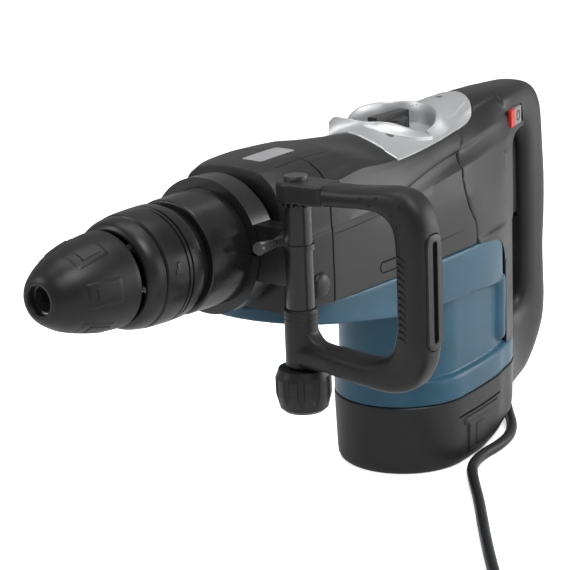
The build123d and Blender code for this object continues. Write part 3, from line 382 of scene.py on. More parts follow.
def vary_colour(material, texture, low, high):
    """Drive the base colour between two colours with a texture."""
    nodes, links, shader = tree_of(material)
    ramp = nodes.new("ShaderNodeValToRGB")
    for element, position, colour in zip(ramp.color_ramp.elements, (0.35, 0.65), (low, high)):
        element.position = position
        element.color = (*colour, 1.0)
    links.new(texture.outputs["Fac"], ramp.inputs["Fac"])
    links.new(ramp.outputs["Color"], shader.inputs["Base Color"])


def vary_roughness(material, texture, low, high):
    """Drive the roughness between two values with a texture."""
    nodes, links, shader = tree_of(material)
    spread = nodes.new("ShaderNodeMapRange")
    for socket, value in (("From Min", 0.3), ("From Max", 0.7), ("To Min", low), ("To Max", high)):
        spread.inputs[socket].default_value = value
    links.new(texture.outputs["Fac"], spread.inputs["Value"])
    links.new(spread.outputs["Result"], shader.inputs["Roughness"])


def add_bump(material, texture, strength, depth):
    """Bump from a texture, depth in millimetres."""
    nodes, links, shader = tree_of(material)
    bump = nodes.new("ShaderNodeBump")
    bump.inputs["Strength"].default_value = strength
    bump.inputs["Distance"].default_value = depth * MM
    links.new(texture.outputs["Fac"], bump.inputs["Height"])
    links.new(bump.outputs["Normal"], shader.inputs["Normal"])


def scaled(colour, factor):
    """Colour made lighter or darker."""
    return tuple(min(1.0, c * factor) for c in colour)


def plastic(name, colour, roughness, grain=0.03):
    """Moulded plastic with a fine eroded grain and slight flow marks."""
    material = new_material(name, colour, roughness)
    broad = noise(material, 28, 4)
    fine = noise(material, FINE_GRAIN, 2)
    vary_colour(material, broad, scaled(colour, 0.88), scaled(colour, 1.12))
    vary_roughness(material, broad, roughness - 0.04, roughness + 0.06)
    add_bump(material, fine, 0.35, grain)
    return material


def rubber(name, colour, roughness):
    """Soft rubber: matte, with dust in fine speckles."""
    material = new_material(name, colour, roughness)
    speckle = noise(material, 900, 5)
    broad = noise(material, 35, 4)
    vary_colour(material, speckle, scaled(colour, 0.82), scaled(colour, 1.22))
    vary_roughness(material, broad, roughness - 0.07, roughness + 0.08)
    add_bump(material, speckle, 0.4, 0.05)
    return material


def metal(name, colour, roughness, stretch=(1, 1, 1), pitch=0.4, depth=0.01):
    """Metal with tool marks; stretch sets their direction."""
    material = new_material(name, colour, roughness, 1.0)
    marks = noise(material, 1000 / pitch, 4, stretch)
    broad = noise(material, 40, 5)
    vary_colour(material, broad, scaled(colour, 0.86), scaled(colour, 1.1))
    vary_roughness(material, marks, roughness - 0.07, roughness + 0.1)
    add_bump(material, marks, 0.4, depth)
    return material


def painted(name, colour, roughness, coat):
    """Paint with orange peel and fine dust."""
    material = new_material(name, colour, roughness)
    peel = noise(material, 420, 2)
    dust = noise(material, 60, 6)
    vary_colour(material, dust, scaled(colour, 0.92), scaled(colour, 1.08))
    vary_roughness(material, dust, roughness - 0.05, roughness + 0.07)
    add_bump(material, peel, 0.25, 0.04)
    shader = tree_of(material)[2]
    shader.inputs["Coat Weight"].default_value = coat
    shader.inputs["Coat Roughness"].default_value = 0.25
    return material


def satin_metal(name, colour, roughness):
    """Silver lacquer over a casting: even colour, fine metallic grain."""
    material = new_material(name, colour, roughness, 0.75)
    grain = noise(material, 2600, 2)
    broad = noise(material, 18, 3)
    vary_colour(material, broad, scaled(colour, 0.97), scaled(colour, 1.03))
    vary_roughness(material, grain, roughness - 0.05, roughness + 0.07)
    add_bump(material, grain, 0.2, 0.01)
    return material


def laminated(name, colour, roughness):
    """Stack of thin sheets: fine bands along Z."""
    material = new_material(name, colour, roughness, 0.8)
    bands = noise(material, 30, 1, (1, 1, 60))
    vary_colour(material, bands, scaled(colour, 0.7), scaled(colour, 1.2))
    add_bump(material, bands, 0.6, 0.1)
    return material


def wound(name, colour, roughness):
    """Copper winding: close parallel wires."""
    material = new_material(name, colour, roughness, 0.9)
    wires = noise(material, 60, 1, (1, 1, 18))
    vary_colour(material, wires, scaled(colour, 0.55), colour)
    add_bump(material, wires, 0.8, 0.3)
    return material


MATERIALS = {
    "rubber_black": rubber("rubber_black", (0.006, 0.006, 0.0063), 0.42),
    "rubber_grip": rubber("rubber_grip", (0.008, 0.008, 0.0085), 0.46),
    "plastic_black": plastic("plastic_black", (0.011, 0.011, 0.0115), 0.4),
    "plastic_blue": plastic("plastic_blue", (0.013, 0.055, 0.09), 0.36, 0.02),
    "plastic_dark_grey": plastic("plastic_dark_grey", (0.022, 0.022, 0.023), 0.38),
    "plastic_red": plastic("plastic_red", (0.42, 0.02, 0.015), 0.4, 0.01),
    "sleeve_black": plastic("sleeve_black", (0.008, 0.008, 0.0085), 0.32, 0.02),
    "paint_black": painted("paint_black", (0.006, 0.006, 0.0065), 0.3, 0.25),
    "silver_metal": satin_metal("silver_metal", (0.4, 0.405, 0.41), 0.44),
    "aluminium_cast": metal("aluminium_cast", (0.6, 0.6, 0.61), 0.5, pitch=1.2, depth=0.06),
    "steel_dark": metal("steel_dark", (0.09, 0.09, 0.095), 0.38),
    "steel_bright": metal("steel_bright", (0.62, 0.62, 0.63), 0.24, (1, 8, 8)),
    "steel_gear": metal("steel_gear", (0.42, 0.42, 0.43), 0.34, (3, 3, 1)),
    "lamination": laminated("lamination", (0.2, 0.2, 0.21), 0.45),
    "copper": wound("copper", (0.75, 0.34, 0.18), 0.35),
    "brass": metal("brass", (0.78, 0.58, 0.28), 0.35),
    "carbon": plastic("carbon", (0.03, 0.03, 0.03), 0.6, 0.05),
    "pom_white": plastic("pom_white", (0.66, 0.66, 0.63), 0.4, 0.02),
    "cord_black": rubber("cord_black", (0.009, 0.009, 0.0095), 0.4),
    "lock_grey": plastic("lock_grey", (0.16, 0.155, 0.155), 0.42, 0.01),
    "plate_grey": plastic("plate_grey", (0.2, 0.2, 0.205), 0.4, 0.01),
}

# every CAD node that stays visible takes its slot's material
for part in frame["record"]["subparts"]:
    node = NODES[part["node"]]
    node.data.materials.clear()
    node.data.materials.append(MATERIALS[part["material_slot"]])
    shade(node.data, 30.0)


# ---------------------------------------------------------------- cord
CORD_D = 9
CORD_R = CORD_D / 2
GUARD_START = Vector((158.4, 9.2, 27.2))
GUARD_DIRECTION = Vector((-0.70, -0.60, -0.38)).normalized()
GUARD_END = GUARD_START + GUARD_DIRECTION * 40
LANDING = GUARD_END + GUARD_DIRECTION * ((GUARD_END.z - CORD_R) / -GUARD_DIRECTION.z)
ROUTE = [(95.6, -43.6, CORD_R), (70.6, -57.8, CORD_R), (43, -63.6, CORD_R), (16.6, -63.4, CORD_R),
         (-9, -70, CORD_R), (-36, -90, CORD_R), (-70, -117, CORD_R), (-114, -149, CORD_R),
         (-170, -192, CORD_R), (-232, -244, CORD_R), (-285, -294.3, CORD_R)]
COIL_X, COIL_Y = -240.7, -341.1
COIL_START_DEG, COIL_END_DEG = 133.4, 250
COIL_WIDE_R, COIL_PITCH = 64.5, 9.3
COIL_LAYERS = 4
COIL_FULL_TURNS = 13
POINTS_PER_TURN = 20
CLIMB_TURNS = 0.25
PLUG_Z = 13
TAIL = [(COIL_X - 2, COIL_Y - 62.5, 31.5), (COIL_X + 28, COIL_Y - 64.5, 30),
        (COIL_X + 56, COIL_Y - 69, 21.5), (COIL_X + 82, COIL_Y - 73.5, 13.6),
        (COIL_X + 104, COIL_Y - 74, PLUG_Z)]


def coil_points():
    """Turns of the coil: layers that wind in, climb, wind out and climb again."""
    turns = COIL_FULL_TURNS + (COIL_END_DEG - COIL_START_DEG) / 360
    layer_turns = (turns - CLIMB_TURNS * (COIL_LAYERS - 1)) / COIL_LAYERS
    cycle = layer_turns + CLIMB_TURNS
    points = []
    for i in range(1, int(turns * POINTS_PER_TURN) + 1):
        turn = i / POINTS_PER_TURN
        layer = min(int(turn / cycle), COIL_LAYERS - 1)
        into = turn - layer * cycle
        wound = min(into, layer_turns) * COIL_PITCH
        narrow = COIL_WIDE_R - layer_turns * COIL_PITCH
        radius = COIL_WIDE_R - wound if layer % 2 == 0 else narrow + wound
        climb = max(0, into - layer_turns) / CLIMB_TURNS
        height = CORD_R + CORD_D * (layer + climb * climb * (3 - 2 * climb))
        angle = math.radians(COIL_START_DEG) + 2 * math.pi * turn
        points.append((COIL_X + radius * math.cos(angle), COIL_Y + radius * math.sin(angle), height))
    return points


def add_cord():
    """Mains lead: out of the guard, along the floor, round the coil and into the plug, as one spline."""
    points = [tuple(GUARD_END), tuple(LANDING)] + ROUTE + coil_points() + TAIL
    curve = bpy.data.curves.new("power_lead", "CURVE")
    curve.dimensions = "3D"
    curve.resolution_u = 6
    curve.bevel_depth = CORD_R * MM
    curve.bevel_resolution = 5
    spline = curve.splines.new("NURBS")
    spline.points.add(len(points) - 1)
    for knot, (x, y, z) in zip(spline.points, points):
        knot.co = (x * MM, y * MM, z * MM, 1)
    spline.order_u = 3
    spline.use_endpoint_u = True
    curve.materials.append(MATERIALS["cord_black"])
    lead = loose("power_lead", curve)
    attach(lead, "housing")
    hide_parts("power_cord", "cord_coil")


add_cord()


# ---------------------------------------------------------------- floor and light
WHITE = (1, 1, 1, 1)
FLOOR_HALF = 30000
FLOOR_Z = -0.05
FLOOR_GLOW = 0.62
SURROUND_LIGHT = 0.42
LAMP_AIM = (-0.1, 0, 0.18)


def add_area(name, place, size, power):
    """Soft rectangular lamp pointed at the middle of the tool."""
    data = bpy.data.lights.new(name, "AREA")
    data.shape = "RECTANGLE"
    data.size, data.size_y = size
    data.energy = power
    lamp = loose(name, data)
    lamp.location = place
    lamp.rotation_euler = (Vector(LAMP_AIM) - Vector(place)).to_track_quat("-Z", "Y").to_euler()


def add_floor():
    """Pale floor that the camera sees as white."""
    corners = [(x * FLOOR_HALF, y * FLOOR_HALF, FLOOR_Z) for x, y in ((-1, -1), (1, -1), (1, 1), (-1, 1))]
    floor = loose("floor", mesh_from("floor", corners, [(0, 1, 2, 3)]))
    ground = new_material("floor_paint", (0.86, 0.86, 0.86), 0.85)
    grain = noise(ground, 300, 2)
    vary_colour(ground, grain, (0.85, 0.85, 0.85), (0.87, 0.87, 0.87))
    # a glow that only the camera sees keeps the far floor white
    nodes, links, shader = tree_of(ground)
    path = nodes.new("ShaderNodeLightPath")
    glow = nodes.new("ShaderNodeMath")
    glow.operation = "MULTIPLY"
    glow.inputs[1].default_value = FLOOR_GLOW
    links.new(path.outputs["Is Camera Ray"], glow.inputs[0])
    links.new(glow.outputs["Value"], shader.inputs["Emission Strength"])
    shader.inputs["Emission Color"].default_value = WHITE
    floor.data.materials.append(ground)


def add_surround():
    """White surroundings, dimmer for everything but the camera."""
    world = bpy.data.worlds.new("studio")
    bpy.context.scene.world = world
    world.use_nodes = True
    nodes, links = world.node_tree.nodes, world.node_tree.links
    around = nodes["Background"]
    around.inputs["Color"].default_value = WHITE
    around.inputs["Strength"].default_value = SURROUND_LIGHT
    seen = nodes.new("ShaderNodeBackground")
    seen.inputs["Color"].default_value = WHITE
    seen.inputs["Strength"].default_value = 1
    path = nodes.new("ShaderNodeLightPath")
    choice = nodes.new("ShaderNodeMixShader")
    links.new(path.outputs["Is Camera Ray"], choice.inputs["Fac"])
    links.new(around.outputs["Background"], choice.inputs[1])
    links.new(seen.outputs["Background"], choice.inputs[2])
    links.new(choice.outputs["Shader"], nodes["World Output"].inputs["Surface"])


add_floor()
add_surround()
add_area("key", (-0.5, -1.2, 2.1), (1, 1), 40)
add_area("top", (0.1, 0.2, 2.1), (1.6, 0.9), 18)
add_area("left_rim", (-1.6, 1.2, 1.2), (0.4, 1.4), 20)
add_area("right_side", (1.5, -1.25, 0.55), (0.9, 1), 24)
add_area("right_strip", (0.5, -1.9, 0.5), (0.16, 1.2), 9)
bpy.context.scene.view_settings.view_transform = "Standard"


# ---------------------------------------------------------------- chuck and barrel
CAP_PROFILE = [(-397, 12.5), (-395.2, 15.6), (-390, 19.6), (-380, 24.8), (-365, 29.4), (-350, 32.2),
               (-340, 33.1)]
SLEEVE_REAR_X = -281
NECK_R = 35
BARREL_R = 41.5
FRONT_SEAM_X = -163


def patch(profile, x0, x1, middle, half_width, lift, edge=0.9):
    """Raised pad with soft edges on a turned surface."""
    def place(x, across, share):
        radius = interpolate(profile, x)
        angle = middle + across / radius
        return [(x, -r * math.cos(angle), SPINDLE_Z + r * math.sin(angle))
                for r in (radius + lift * share - 0.02, radius - 1)]
    return pad_mesh(18, 14, (x0, x1), (-half_width, half_width), edge, place)


def add_chuck():
    """Dust cap, release sleeve and barrel."""
    smooth_cap = smooth_points(CAP_PROFILE, 8)
    cap_outline = ([(-391, 9.7), (-395.6, 9.7), (-396.6, 10.2), (-397, 11.2)] + smooth_cap
                   + [(-337, 33.2), (-336.2, 32.9), (-335.9, 32.2), (-335.9, 31), (-334.4, 31),
                      (-334.4, 15.2), (-391, 15.2)])
    cap = [turned_x("cap", cap_outline, 160)]
    for i in range(6):
        angle = math.radians(3 + 60 * i)
        cap.append(patch(smooth_cap, -378, -352, angle, 8.6, 0.45))
        cap.append(patch(smooth_cap, -372, -355, angle, 4.9, 1.05, 0.6))
    add_piece("dust_cap_skin", joined("dust_cap_skin", cap), "spindle", "rubber_black", replaced=["dust_cap"])

    front = [(-330.5, 31.2), (-330.3, 33), (-328.8, 35.2), (-326, 36.9), (-322, 38.1), (-318.6, 38.6)]
    sleeve_outline = (smooth_points(front, 6)
                      + [(-317.8, 38.2), (-317.4, 37.4), (-316.6, 37.4), (-316.2, 38.4), (-315.4, 39.2),
                         (-312, 39.7), (-305, 40.1), (-298.2, 40.3), (-297.9, 39.4), (-296.9, 39.4),
                         (-296.6, 40.4), (-294.4, 40.4), (-294.1, 39.2), (-292.9, 39.2), (-292.6, 40.4),
                         (-285.4, 40.4),
                         (-284, 40), (-283.4, 39.2), (-281.6, 38.9), (SLEEVE_REAR_X, 38.2),
                         (SLEEVE_REAR_X, NECK_R + 1.3), (-303, NECK_R + 1.3), (-303, 31.2)])
    sleeve = turned_x("release_sleeve_skin", sleeve_outline, 160, sharp=28)
    marks = [patch([(-317, 40), (-290, 40.35)], x0, x1, math.radians(12) + across / 40, half_width,
                   0.35, 0.3)
             for x0, x1, across, half_width in ((-308, -305.3, -2.6, 4.5), (-309.6, -307.8, -4.6, 2.5))]
    add_piece("release_sleeve_skin", joined("release_sleeve_skin", [sleeve] + marks), "release_sleeve",
              "sleeve_black", replaced=["release_sleeve"])

    barrel_outline = [(-289, 31), (-289, NECK_R), (-273.5, NECK_R), (-273.5, 38.6), (-273.2, 39.6),
                      (-272.4, 40.3), (-270, 40.8), (-241.6, 41.4), (-241.2, BARREL_R),
                      (FRONT_SEAM_X, BARREL_R), (FRONT_SEAM_X, 38.3), (-258, 38.3), (-261.9, 31)]
    add_piece("barrel_skin", turned_x("barrel_skin", barrel_outline, 160, sharp=28), "housing",
              "paint_black", replaced=["barrel_housing"])


add_chuck()


# ---------------------------------------------------------------- side handle
POST_X, POST_Y = -226.5, -76
GRIP_PAIRS = [((-30, 281.3), (-30, 266.5)), ((-50, 281.9), (-46, 267.4)), ((-68, 283.4), (-60, 268)),
              ((-84, 284.6), (-71, 267.2)), ((-97, 281.8), (-79, 263.2)), ((-106, 273.2), (-83.4, 256.8)),
              ((-110, 261), (-85, 248)), ((-111.2, 243), (-85.4, 236)), ((-111.5, 220), (-85.5, 218)),
              ((-111.3, 198), (-85.2, 200)), ((-110.4, 181), (-84, 187)), ((-107.4, 167), (-80.6, 177)),
              ((-100.6, 155.4), (-74, 170)), ((-90, 148.2), (-65.4, 166.6)), ((-76, 145.8), (-56, 165.8)),
              ((-56, 147), (-45, 166.3)), ((-30, 149.8), (-30, 167.8))]
GRIP_HALF_DEPTH = 13.4
EYE_TEETH = 16


def section_loft(name, pairs, half_depths):
    """Tube of the side handle, which lies in the YZ plane at the post."""
    rings = tube_rings(pairs, half_depths, 2.8, 40, 5, lambda y, deep, z: (POST_X + deep, POST_Y + y, z))
    return ring_mesh(name, rings, sharp=60)


def ridge_row(y, z0, z1, count, x):
    """Row of short slanted ridges pressed into the inner front face of the grip."""
    marks = []
    for i in range(count):
        z = z0 + (z1 - z0) * i / (count - 1)
        outline = rounded([(y - 3.2, z - 1.2, 0.5), (y + 3.2, z + 1.2, 0.5), (y + 3.2, z + 2.4, 0.5),
                           (y - 3.2, z, 0.5)], 2)
        marks.append(soft_prism("mark", outline, "x", x - 0.35, x + 1.5, 0.25))
    return marks


def pill(half_width, z0, z1, radius, steps):
    """Upright rounded slot in the plane of the grip's outer face."""
    return rounded_box(POST_X - half_width, POST_X + half_width, z0, z1, radius, steps)


DOT_PLACES = [(-62, 277.5), (-69, 272.8), (-75, 279), (-81, 273.8), (-87, 268.6), (-92, 275.5),
              (-90, 261)]


def add_grip():
    """Rubber grip of the side handle and the hard insert down its outer face."""
    depths = [12.6, 12.9, 13.3] + [GRIP_HALF_DEPTH] * 11 + [13.3, 12.9, 12.4]
    grip = section_loft("grip", GRIP_PAIRS, depths)
    slot = prism("slot", pill(8.8, 178.5, 257.5, 8.4, 8), "y", POST_Y - 120, POST_Y - 108.6)
    grip = carved(grip, [slot])
    dots = [turned_dot(POST_X - GRIP_HALF_DEPTH + 0.05, POST_Y + y, z, 0.9) for y, z in DOT_PLACES]
    ridges = ridge_row(POST_Y - 93.5, 186, 240, 13, POST_X - GRIP_HALF_DEPTH)
    add_piece("grip_skin", joined("grip_skin", [grip] + dots + ridges), "side_handle", "rubber_grip",
              replaced=["d_handle_grip"])
    insert = soft_prism("insert", pill(8.3, 179, 257, 7.9, 8), "y", POST_Y - 111.3, POST_Y - 104, 1.6)
    groove = prism("groove", pill(2.6, 184, 252, 2.5, 6), "y", POST_Y - 120, POST_Y - 107.6)
    add_piece("insert_skin", carved(insert, [groove]), "side_handle", "plastic_black",
              replaced=["grip_insert"])


def add_handle_roots():
    """Hard upper and lower roots of the side handle, with seam rings and the teeth of its eye."""
    eye = turned_z("eye", [(0, 267), (13.2, 267), (13.6, 268), (13.6, 279.6), (12.4, 281),
                           (0, 281)], POST_X, POST_Y)
    arm = soft_prism("arm", rounded([(POST_X - 12.3, POST_Y - 29.4, 1), (POST_X + 12.3, POST_Y - 29.4, 1),
                                     (POST_X + 13.4, POST_Y - 1, 0), (POST_X - 13.4, POST_Y - 1, 0)]),
                     "z", 267.2, 281, 1.4)
    core = section_loft("core", [((-26, 279.6), (-26, 268.4)), ((-40, 280), (-38, 269)),
                                 ((-60, 281.4), (-54, 270))], [11, 11.2, 11.6])
    top_root = fused("top_root", [eye, arm, core], 0.9, 6)
    sleeve = turned_z("sleeve", [(4.4, 150), (11, 150), (11.7, 151), (11.7, 191.3), (11.2, 192),
                                 (4.4, 192)], POST_X, POST_Y)
    low_arm = section_loft("low_arm", [((0, 150.2), (0, 168.4)), ((-14, 150), (-14, 168.6)),
                                       ((-30, 150.6), (-30, 167.4)), ((-46, 149.4), (-42, 165.6))],
                           [11.6, 11.6, 11.8, 11.4])
    fillet = section_loft("fillet", [((-8, 160), (-8, 181)), ((-12.6, 160), (-12.6, 174.4)),
                                     ((-17, 160), (-17, 170.2)), ((-24, 160), (-24, 168))],
                          [8.6, 7.8, 7.6, 9])
    low_root = fused("low_root", [sleeve, low_arm, fillet], 0.9, 6)
    seams = [ring_band(POST_X, POST_Y, 11.78, z) for z in (184.5, 187.5)]
    teeth = []
    for i in range(EYE_TEETH):
        angle = 2 * math.pi * i / EYE_TEETH
        tooth = box_mesh("tooth", 9.9, 12.6, -1.2, 1.2, 263.9, 267.2, 0.4)
        turn = Matrix.Translation((POST_X * MM, POST_Y * MM, 0)) @ Matrix.Rotation(angle, 4, "Z")
        tooth.transform(turn)
        teeth.append(tooth)
    add_piece("handle_roots", joined("handle_roots", [top_root, low_root] + seams + teeth), "side_handle",
              "plastic_black", replaced=["d_handle_frame"])


def turned_dot(x, y, z, radius):
    """Small raised dot on a face that looks towards -X."""
    rings = []
    for lift, share in ((0.4, 1), (-0.25, 0.92), (-0.45, 0.6)):
        rings.append([(x + lift, y + radius * share * math.cos(math.pi * k / 8),
                       z + radius * share * math.sin(math.pi * k / 8)) for k in range(16)])
    return ring_mesh("dot", rings)


def ring_band(x, y, radius, z):
    """Thin raised ring round an upright tube."""
    return turned_z("ring", [(radius - 0.5, z), (radius, z + 0.15), (radius + 0.15, z + 0.35),
                             (radius, z + 0.55), (radius - 0.5, z + 0.7)], x, y)


add_grip()
add_handle_roots()


# ---------------------------------------------------------------- upper covers
BELOW_Z = 177.6
SEAM_GAP = 0.35
FLANK_Y = 57.9
# x, half width at the side, lower crease y and z, hollow under it, upper crease y and z, top z
COVER_STATIONS = [
    (-207, 46, 46, 226, 0, 43.5, 260, 279.6),
    (-198, 51, 51, 227, 0, 48.5, 261.5, 280.4),
    (-186, 54.5, 54.5, 229, 0, 52, 262.5, 281),
    (-163, 57, 57, 231, 0, 54.5, 263, 281.8),
    (-147, 57.3, 57.3, 232, 0, 53.6, 263.4, 281.8),
    (-116, 57.5, 57.4, 234, 0.3, 48.4, 264.6, 281.2),
    (-90, 57.5, 57, 237, 1.2, 46.8, 262.8, 279.8),
    (-64, 57.4, 55, 243, 2.6, 46, 262.2, 278.2),
    (-30, 57, 52, 250, 3.4, 44, 263.4, 279.4),
    (0, 56.3, 48.4, 254, 3.6, 41.6, 265.6, 281.6),
    (22, 55.4, 46.2, 256, 3.2, 38.8, 267.4, 283.4),
    (45, 52.2, 42.8, 258, 2.2, 34.2, 269, 284.8),
    (70, 47.4, 38.4, 260.6, 1.2, 27, 272.6, 285.6),
    (95, 41.2, 35, 262.4, 0.5, 24.4, 276.4, 285.8),
    (118, 32.4, 30.2, 264, 0.1, 22.6, 278.6, 285.8),
    (128, 29.8, 28.2, 265, 0, 21.4, 279.4, 285.8),
    (152, 23.6, 22.4, 266, 0, 16.6, 280.2, 285.2)]
ROOF_SHARE = [(-125, 0), (-85, 0.9), (20, 0.9), (60, 0.3), (100, 0)]
SEAM_WAVE = [(177, 28), (190, 27), (196, 25.6), (207, 17.2), (218, 12), (231, 9.3),
             (243, 10.4), (250.5, 13), (257, 21), (260, 25.2), (264, 28), (268, 31.8),
             (280, 40), (290, 46)]
ROOF_ROUND = (0.45, 0.78, 0.95)
ROOF_FLAT = (0.16, 0.38, 0.66)
SPAN_STEPS = 3


def cover_half(station):
    """Half cross-section of the covers at a station, from the lower seam to the crest, as (y, z)."""
    x, w, ya, za, hollow, yb, zb, top = station
    roof = interpolate(ROOF_SHARE, x)
    shares = [arched * (1 - roof) + flat * roof for arched, flat in zip(ROOF_ROUND, ROOF_FLAT)]
    return [(w - 0.6, BELOW_Z), (w, BELOW_Z + 1.2), (w + 0.3, 196), (w + 0.1, (196 + za - 14) / 2),
            (w - 0.25 * (w - ya) - hollow * 0.2, za - 14), (w - 0.55 * (w - ya) - hollow * 0.8, za - 8),
            (w - 0.8 * (w - ya) - hollow, za - 3.2), (ya - 0.1, za - 0.3), (ya - 0.8, za + 0.9),
            (ya + (yb - ya) * 0.4, za + (zb - za) * 0.45), (ya + (yb - ya) * 0.75, za + (zb - za) * 0.8),
            (yb, zb), (yb - 1.6, zb + 1), (yb * 0.86, zb + (top - zb) * shares[0]),
            (yb * 0.68, zb + (top - zb) * shares[1]), (yb * 0.44, zb + (top - zb) * shares[2]),
            (yb * 0.2, top - 0.1 - 1.5 * roof), (0, top)]


def cover_outline(station):
    """Half cross-section with every span cut into short steps."""
    points = cover_half(station)
    fine = []
    for (y0, z0), (y1, z1) in zip(points, points[1:]):
        fine += [(y0 + (y1 - y0) * i / SPAN_STEPS, z0 + (z1 - z0) * i / SPAN_STEPS)
                 for i in range(SPAN_STEPS)]
    return fine + [points[-1]]


def station_at(stations, x):
    """Station values at x by linear steps between close stations."""
    for before, after in zip(stations, stations[1:]):
        if before[0] <= x <= after[0]:
            t = (x - before[0]) / (after[0] - before[0])
            return tuple(a + (b - a) * t for a, b in zip(before, after))
    return stations[-1] if x > stations[-1][0] else stations[0]


FINE_STATIONS = smooth_points(COVER_STATIONS, 8)
MIDDLE_Z = 230


def cover_ring(place, inset):
    """Closed cross-section whose x is a function of height."""
    ring = []
    heights = [z for _, z in cover_outline(station_at(FINE_STATIONS, place(MIDDLE_Z)))]
    for index, height in enumerate(heights):
        x = place(height)
        y, z = cover_outline(station_at(FINE_STATIONS, x))[index]
        scale = 1 - inset / 50
        ring.append((x, -y * scale, BELOW_Z + (z - BELOW_Z) * scale))
    return ring + [(x, -y, z) for x, y, z in reversed(ring[:-1])]


def cover_loft(name, start, end, step):
    """Cover between two seams, each a function of height."""
    long = end(MIDDLE_Z) - start(MIDDLE_Z)
    count = max(3, int(long / step))
    edge = 0.5 / long
    shares = [0, edge] + [i / count for i in range(1, count)] + [1 - edge, 1]
    rings = [cover_ring(lambda z: start(z) + (end(z) - start(z)) * share, 0.7 if share in (0, 1) else 0)
             for share in shares]
    return ring_mesh(name, rings, sharp=24)


SEAM_CURVE = smooth_points(SEAM_WAVE, 6)


def straight_seam(x):
    """Upright seam at x."""
    return lambda z: x


def rear_seam(shift):
    """Wavy seam between the body cover and the rear handle, as x for a height."""
    return lambda z: interpolate(SEAM_CURVE, z) + shift


SILVER_X0, SILVER_X1 = -66, 83.8
SILVER_EDGE = [(-66, 46.2), (-48, 45.2), (-30, 44), (0, 41.4), (22, 38.4), (45, 33.8),
               (58, 29.6), (66, 26), (72, 21.8), (77, 16.4), (80.5, 11), (82.8, 5.6), (83.8, 0)]
SILVER_CURVE = smooth_points(SILVER_EDGE, 6)


def silver_half(x, gap=0):
    """Half width of the silver cover's plan at x, with a gap round it."""
    if x < SILVER_X0 - gap or x > SILVER_X1 + gap:
        return 0
    middle = (SILVER_X0 + SILVER_X1) / 2
    share = (SILVER_X1 - middle) / (SILVER_X1 - middle + gap)
    wider = gap if x < SILVER_X1 - 8 else gap * 0.4
    return interpolate(SILVER_CURVE, middle + (x - middle) * share) + wider


def surface_z(x, y):
    """Height of the covers' outer surface at a plan point."""
    half = cover_half(station_at(FINE_STATIONS, x))
    side = abs(y)
    for (y1, z1), (y0, z0) in zip(half[8:], half[9:]):
        if y0 <= side <= y1:
            return z0 + (z1 - z0) * (side - y0) / max(1e-6, y1 - y0)
    return half[8][1]


def smoothstep(t):
    """Smooth ramp from 0 to 1."""
    t = max(0, min(1, t))
    return t * t * (3 - 2 * t)


SCREW_TOPS = ((-41, -21.5, 269.5), (58, 0, 281.5))
PLATEAU_EDGE = [(-66, 35), (-5, 31), (45, 26), (75, 17)]
RECESS_FLOOR_Z = 270.2
SILVER_UNDER_Z = 257
# rim of the lever's recess in plan: the lip's side first, then round the hood
LIP_EDGE = [(-37, 15), (-38.8, 6), (-38.6, -1), (-36, -8), (-31, -15), (-25, -22.4),
            (-17, -28.2), (-8, -31.6)]
HOOD_EDGE = [(-8, -31.6), (4, -31), (15, -25.6), (24, -14.6), (28, -1), (26.4, 13),
             (18, 23.6), (4, 28.6), (-12, 28.4), (-27, 23.6), (-37, 15)]
HOOD_RIM_Z = [272.6, 276.6, 282.4, 285.8, 286.6, 286.8, 286.9, 286.9, 286.2, 284, 280.4]
LIP_PATH = [(-47, 31.5, 281.6), (-45.2, 27, 285.2), (-43.4, 18, 284.4), (-41.6, 8, 283.2),
            (-40.8, -1, 282.8), (-38, -9.4, 283), (-32.6, -17, 282), (-26.6, -24.2, 278.8),
            (-18.4, -29.4, 274.6), (-8.4, -32.2, 271)]


def silver_z(x, y):
    """Height of the silver cover: a plateau a little proud of the strip along its edge."""
    crease = min(interpolate(PLATEAU_EDGE, x), silver_half(x) - 2)
    step = 0.9 * smoothstep((crease - abs(y)) / 1.6)
    return surface_z(x, y) + 0.35 + step


def silver_mesh():
    """Silver cover as a height field over its plan, with a rolled edge and a flat underside."""
    columns, rows = 150, 92
    top, under = [], []
    for i in range(columns + 1):
        share = i / columns
        x = SILVER_X0 + (SILVER_X1 - SILVER_X0) * (share + 0.04 * math.sin(math.pi * share) * share)
        half = silver_half(x)
        for j in range(rows + 1):
            y = half * (2 * j / rows - 1)
            inside = min(half - abs(y), x - SILVER_X0)
            roll = 0.6 * (1 - smoothstep(inside / 0.9))
            top.append((x, y, silver_z(x, y) - roll))
            under.append((x, y, SILVER_UNDER_Z))
    return mesh_from("silver", top + under, slab_faces(columns, rows), 38)


def rim_sections(name, path, section):
    """Loft of (offset, z) sections along a plan path (x, y, z); the offset is to the path's left."""
    rings = []
    for i, (x, y, z) in enumerate(path):
        ahead, behind = path[min(i + 1, len(path) - 1)], path[max(i - 1, 0)]
        along = Vector((ahead[0] - behind[0], ahead[1] - behind[1])).normalized()
        left = Vector((-along.y, along.x))
        reach = 14
        while reach > 3 and abs(y - left.y * reach) > silver_half(x - left.x * reach) - 0.9:
            reach -= 0.25
        rings.append([(x + left.x * offset, y + left.y * offset, height)
                      for offset, height in section(x, y, z, reach)])
    return ring_mesh(name, rings, sharp=44)


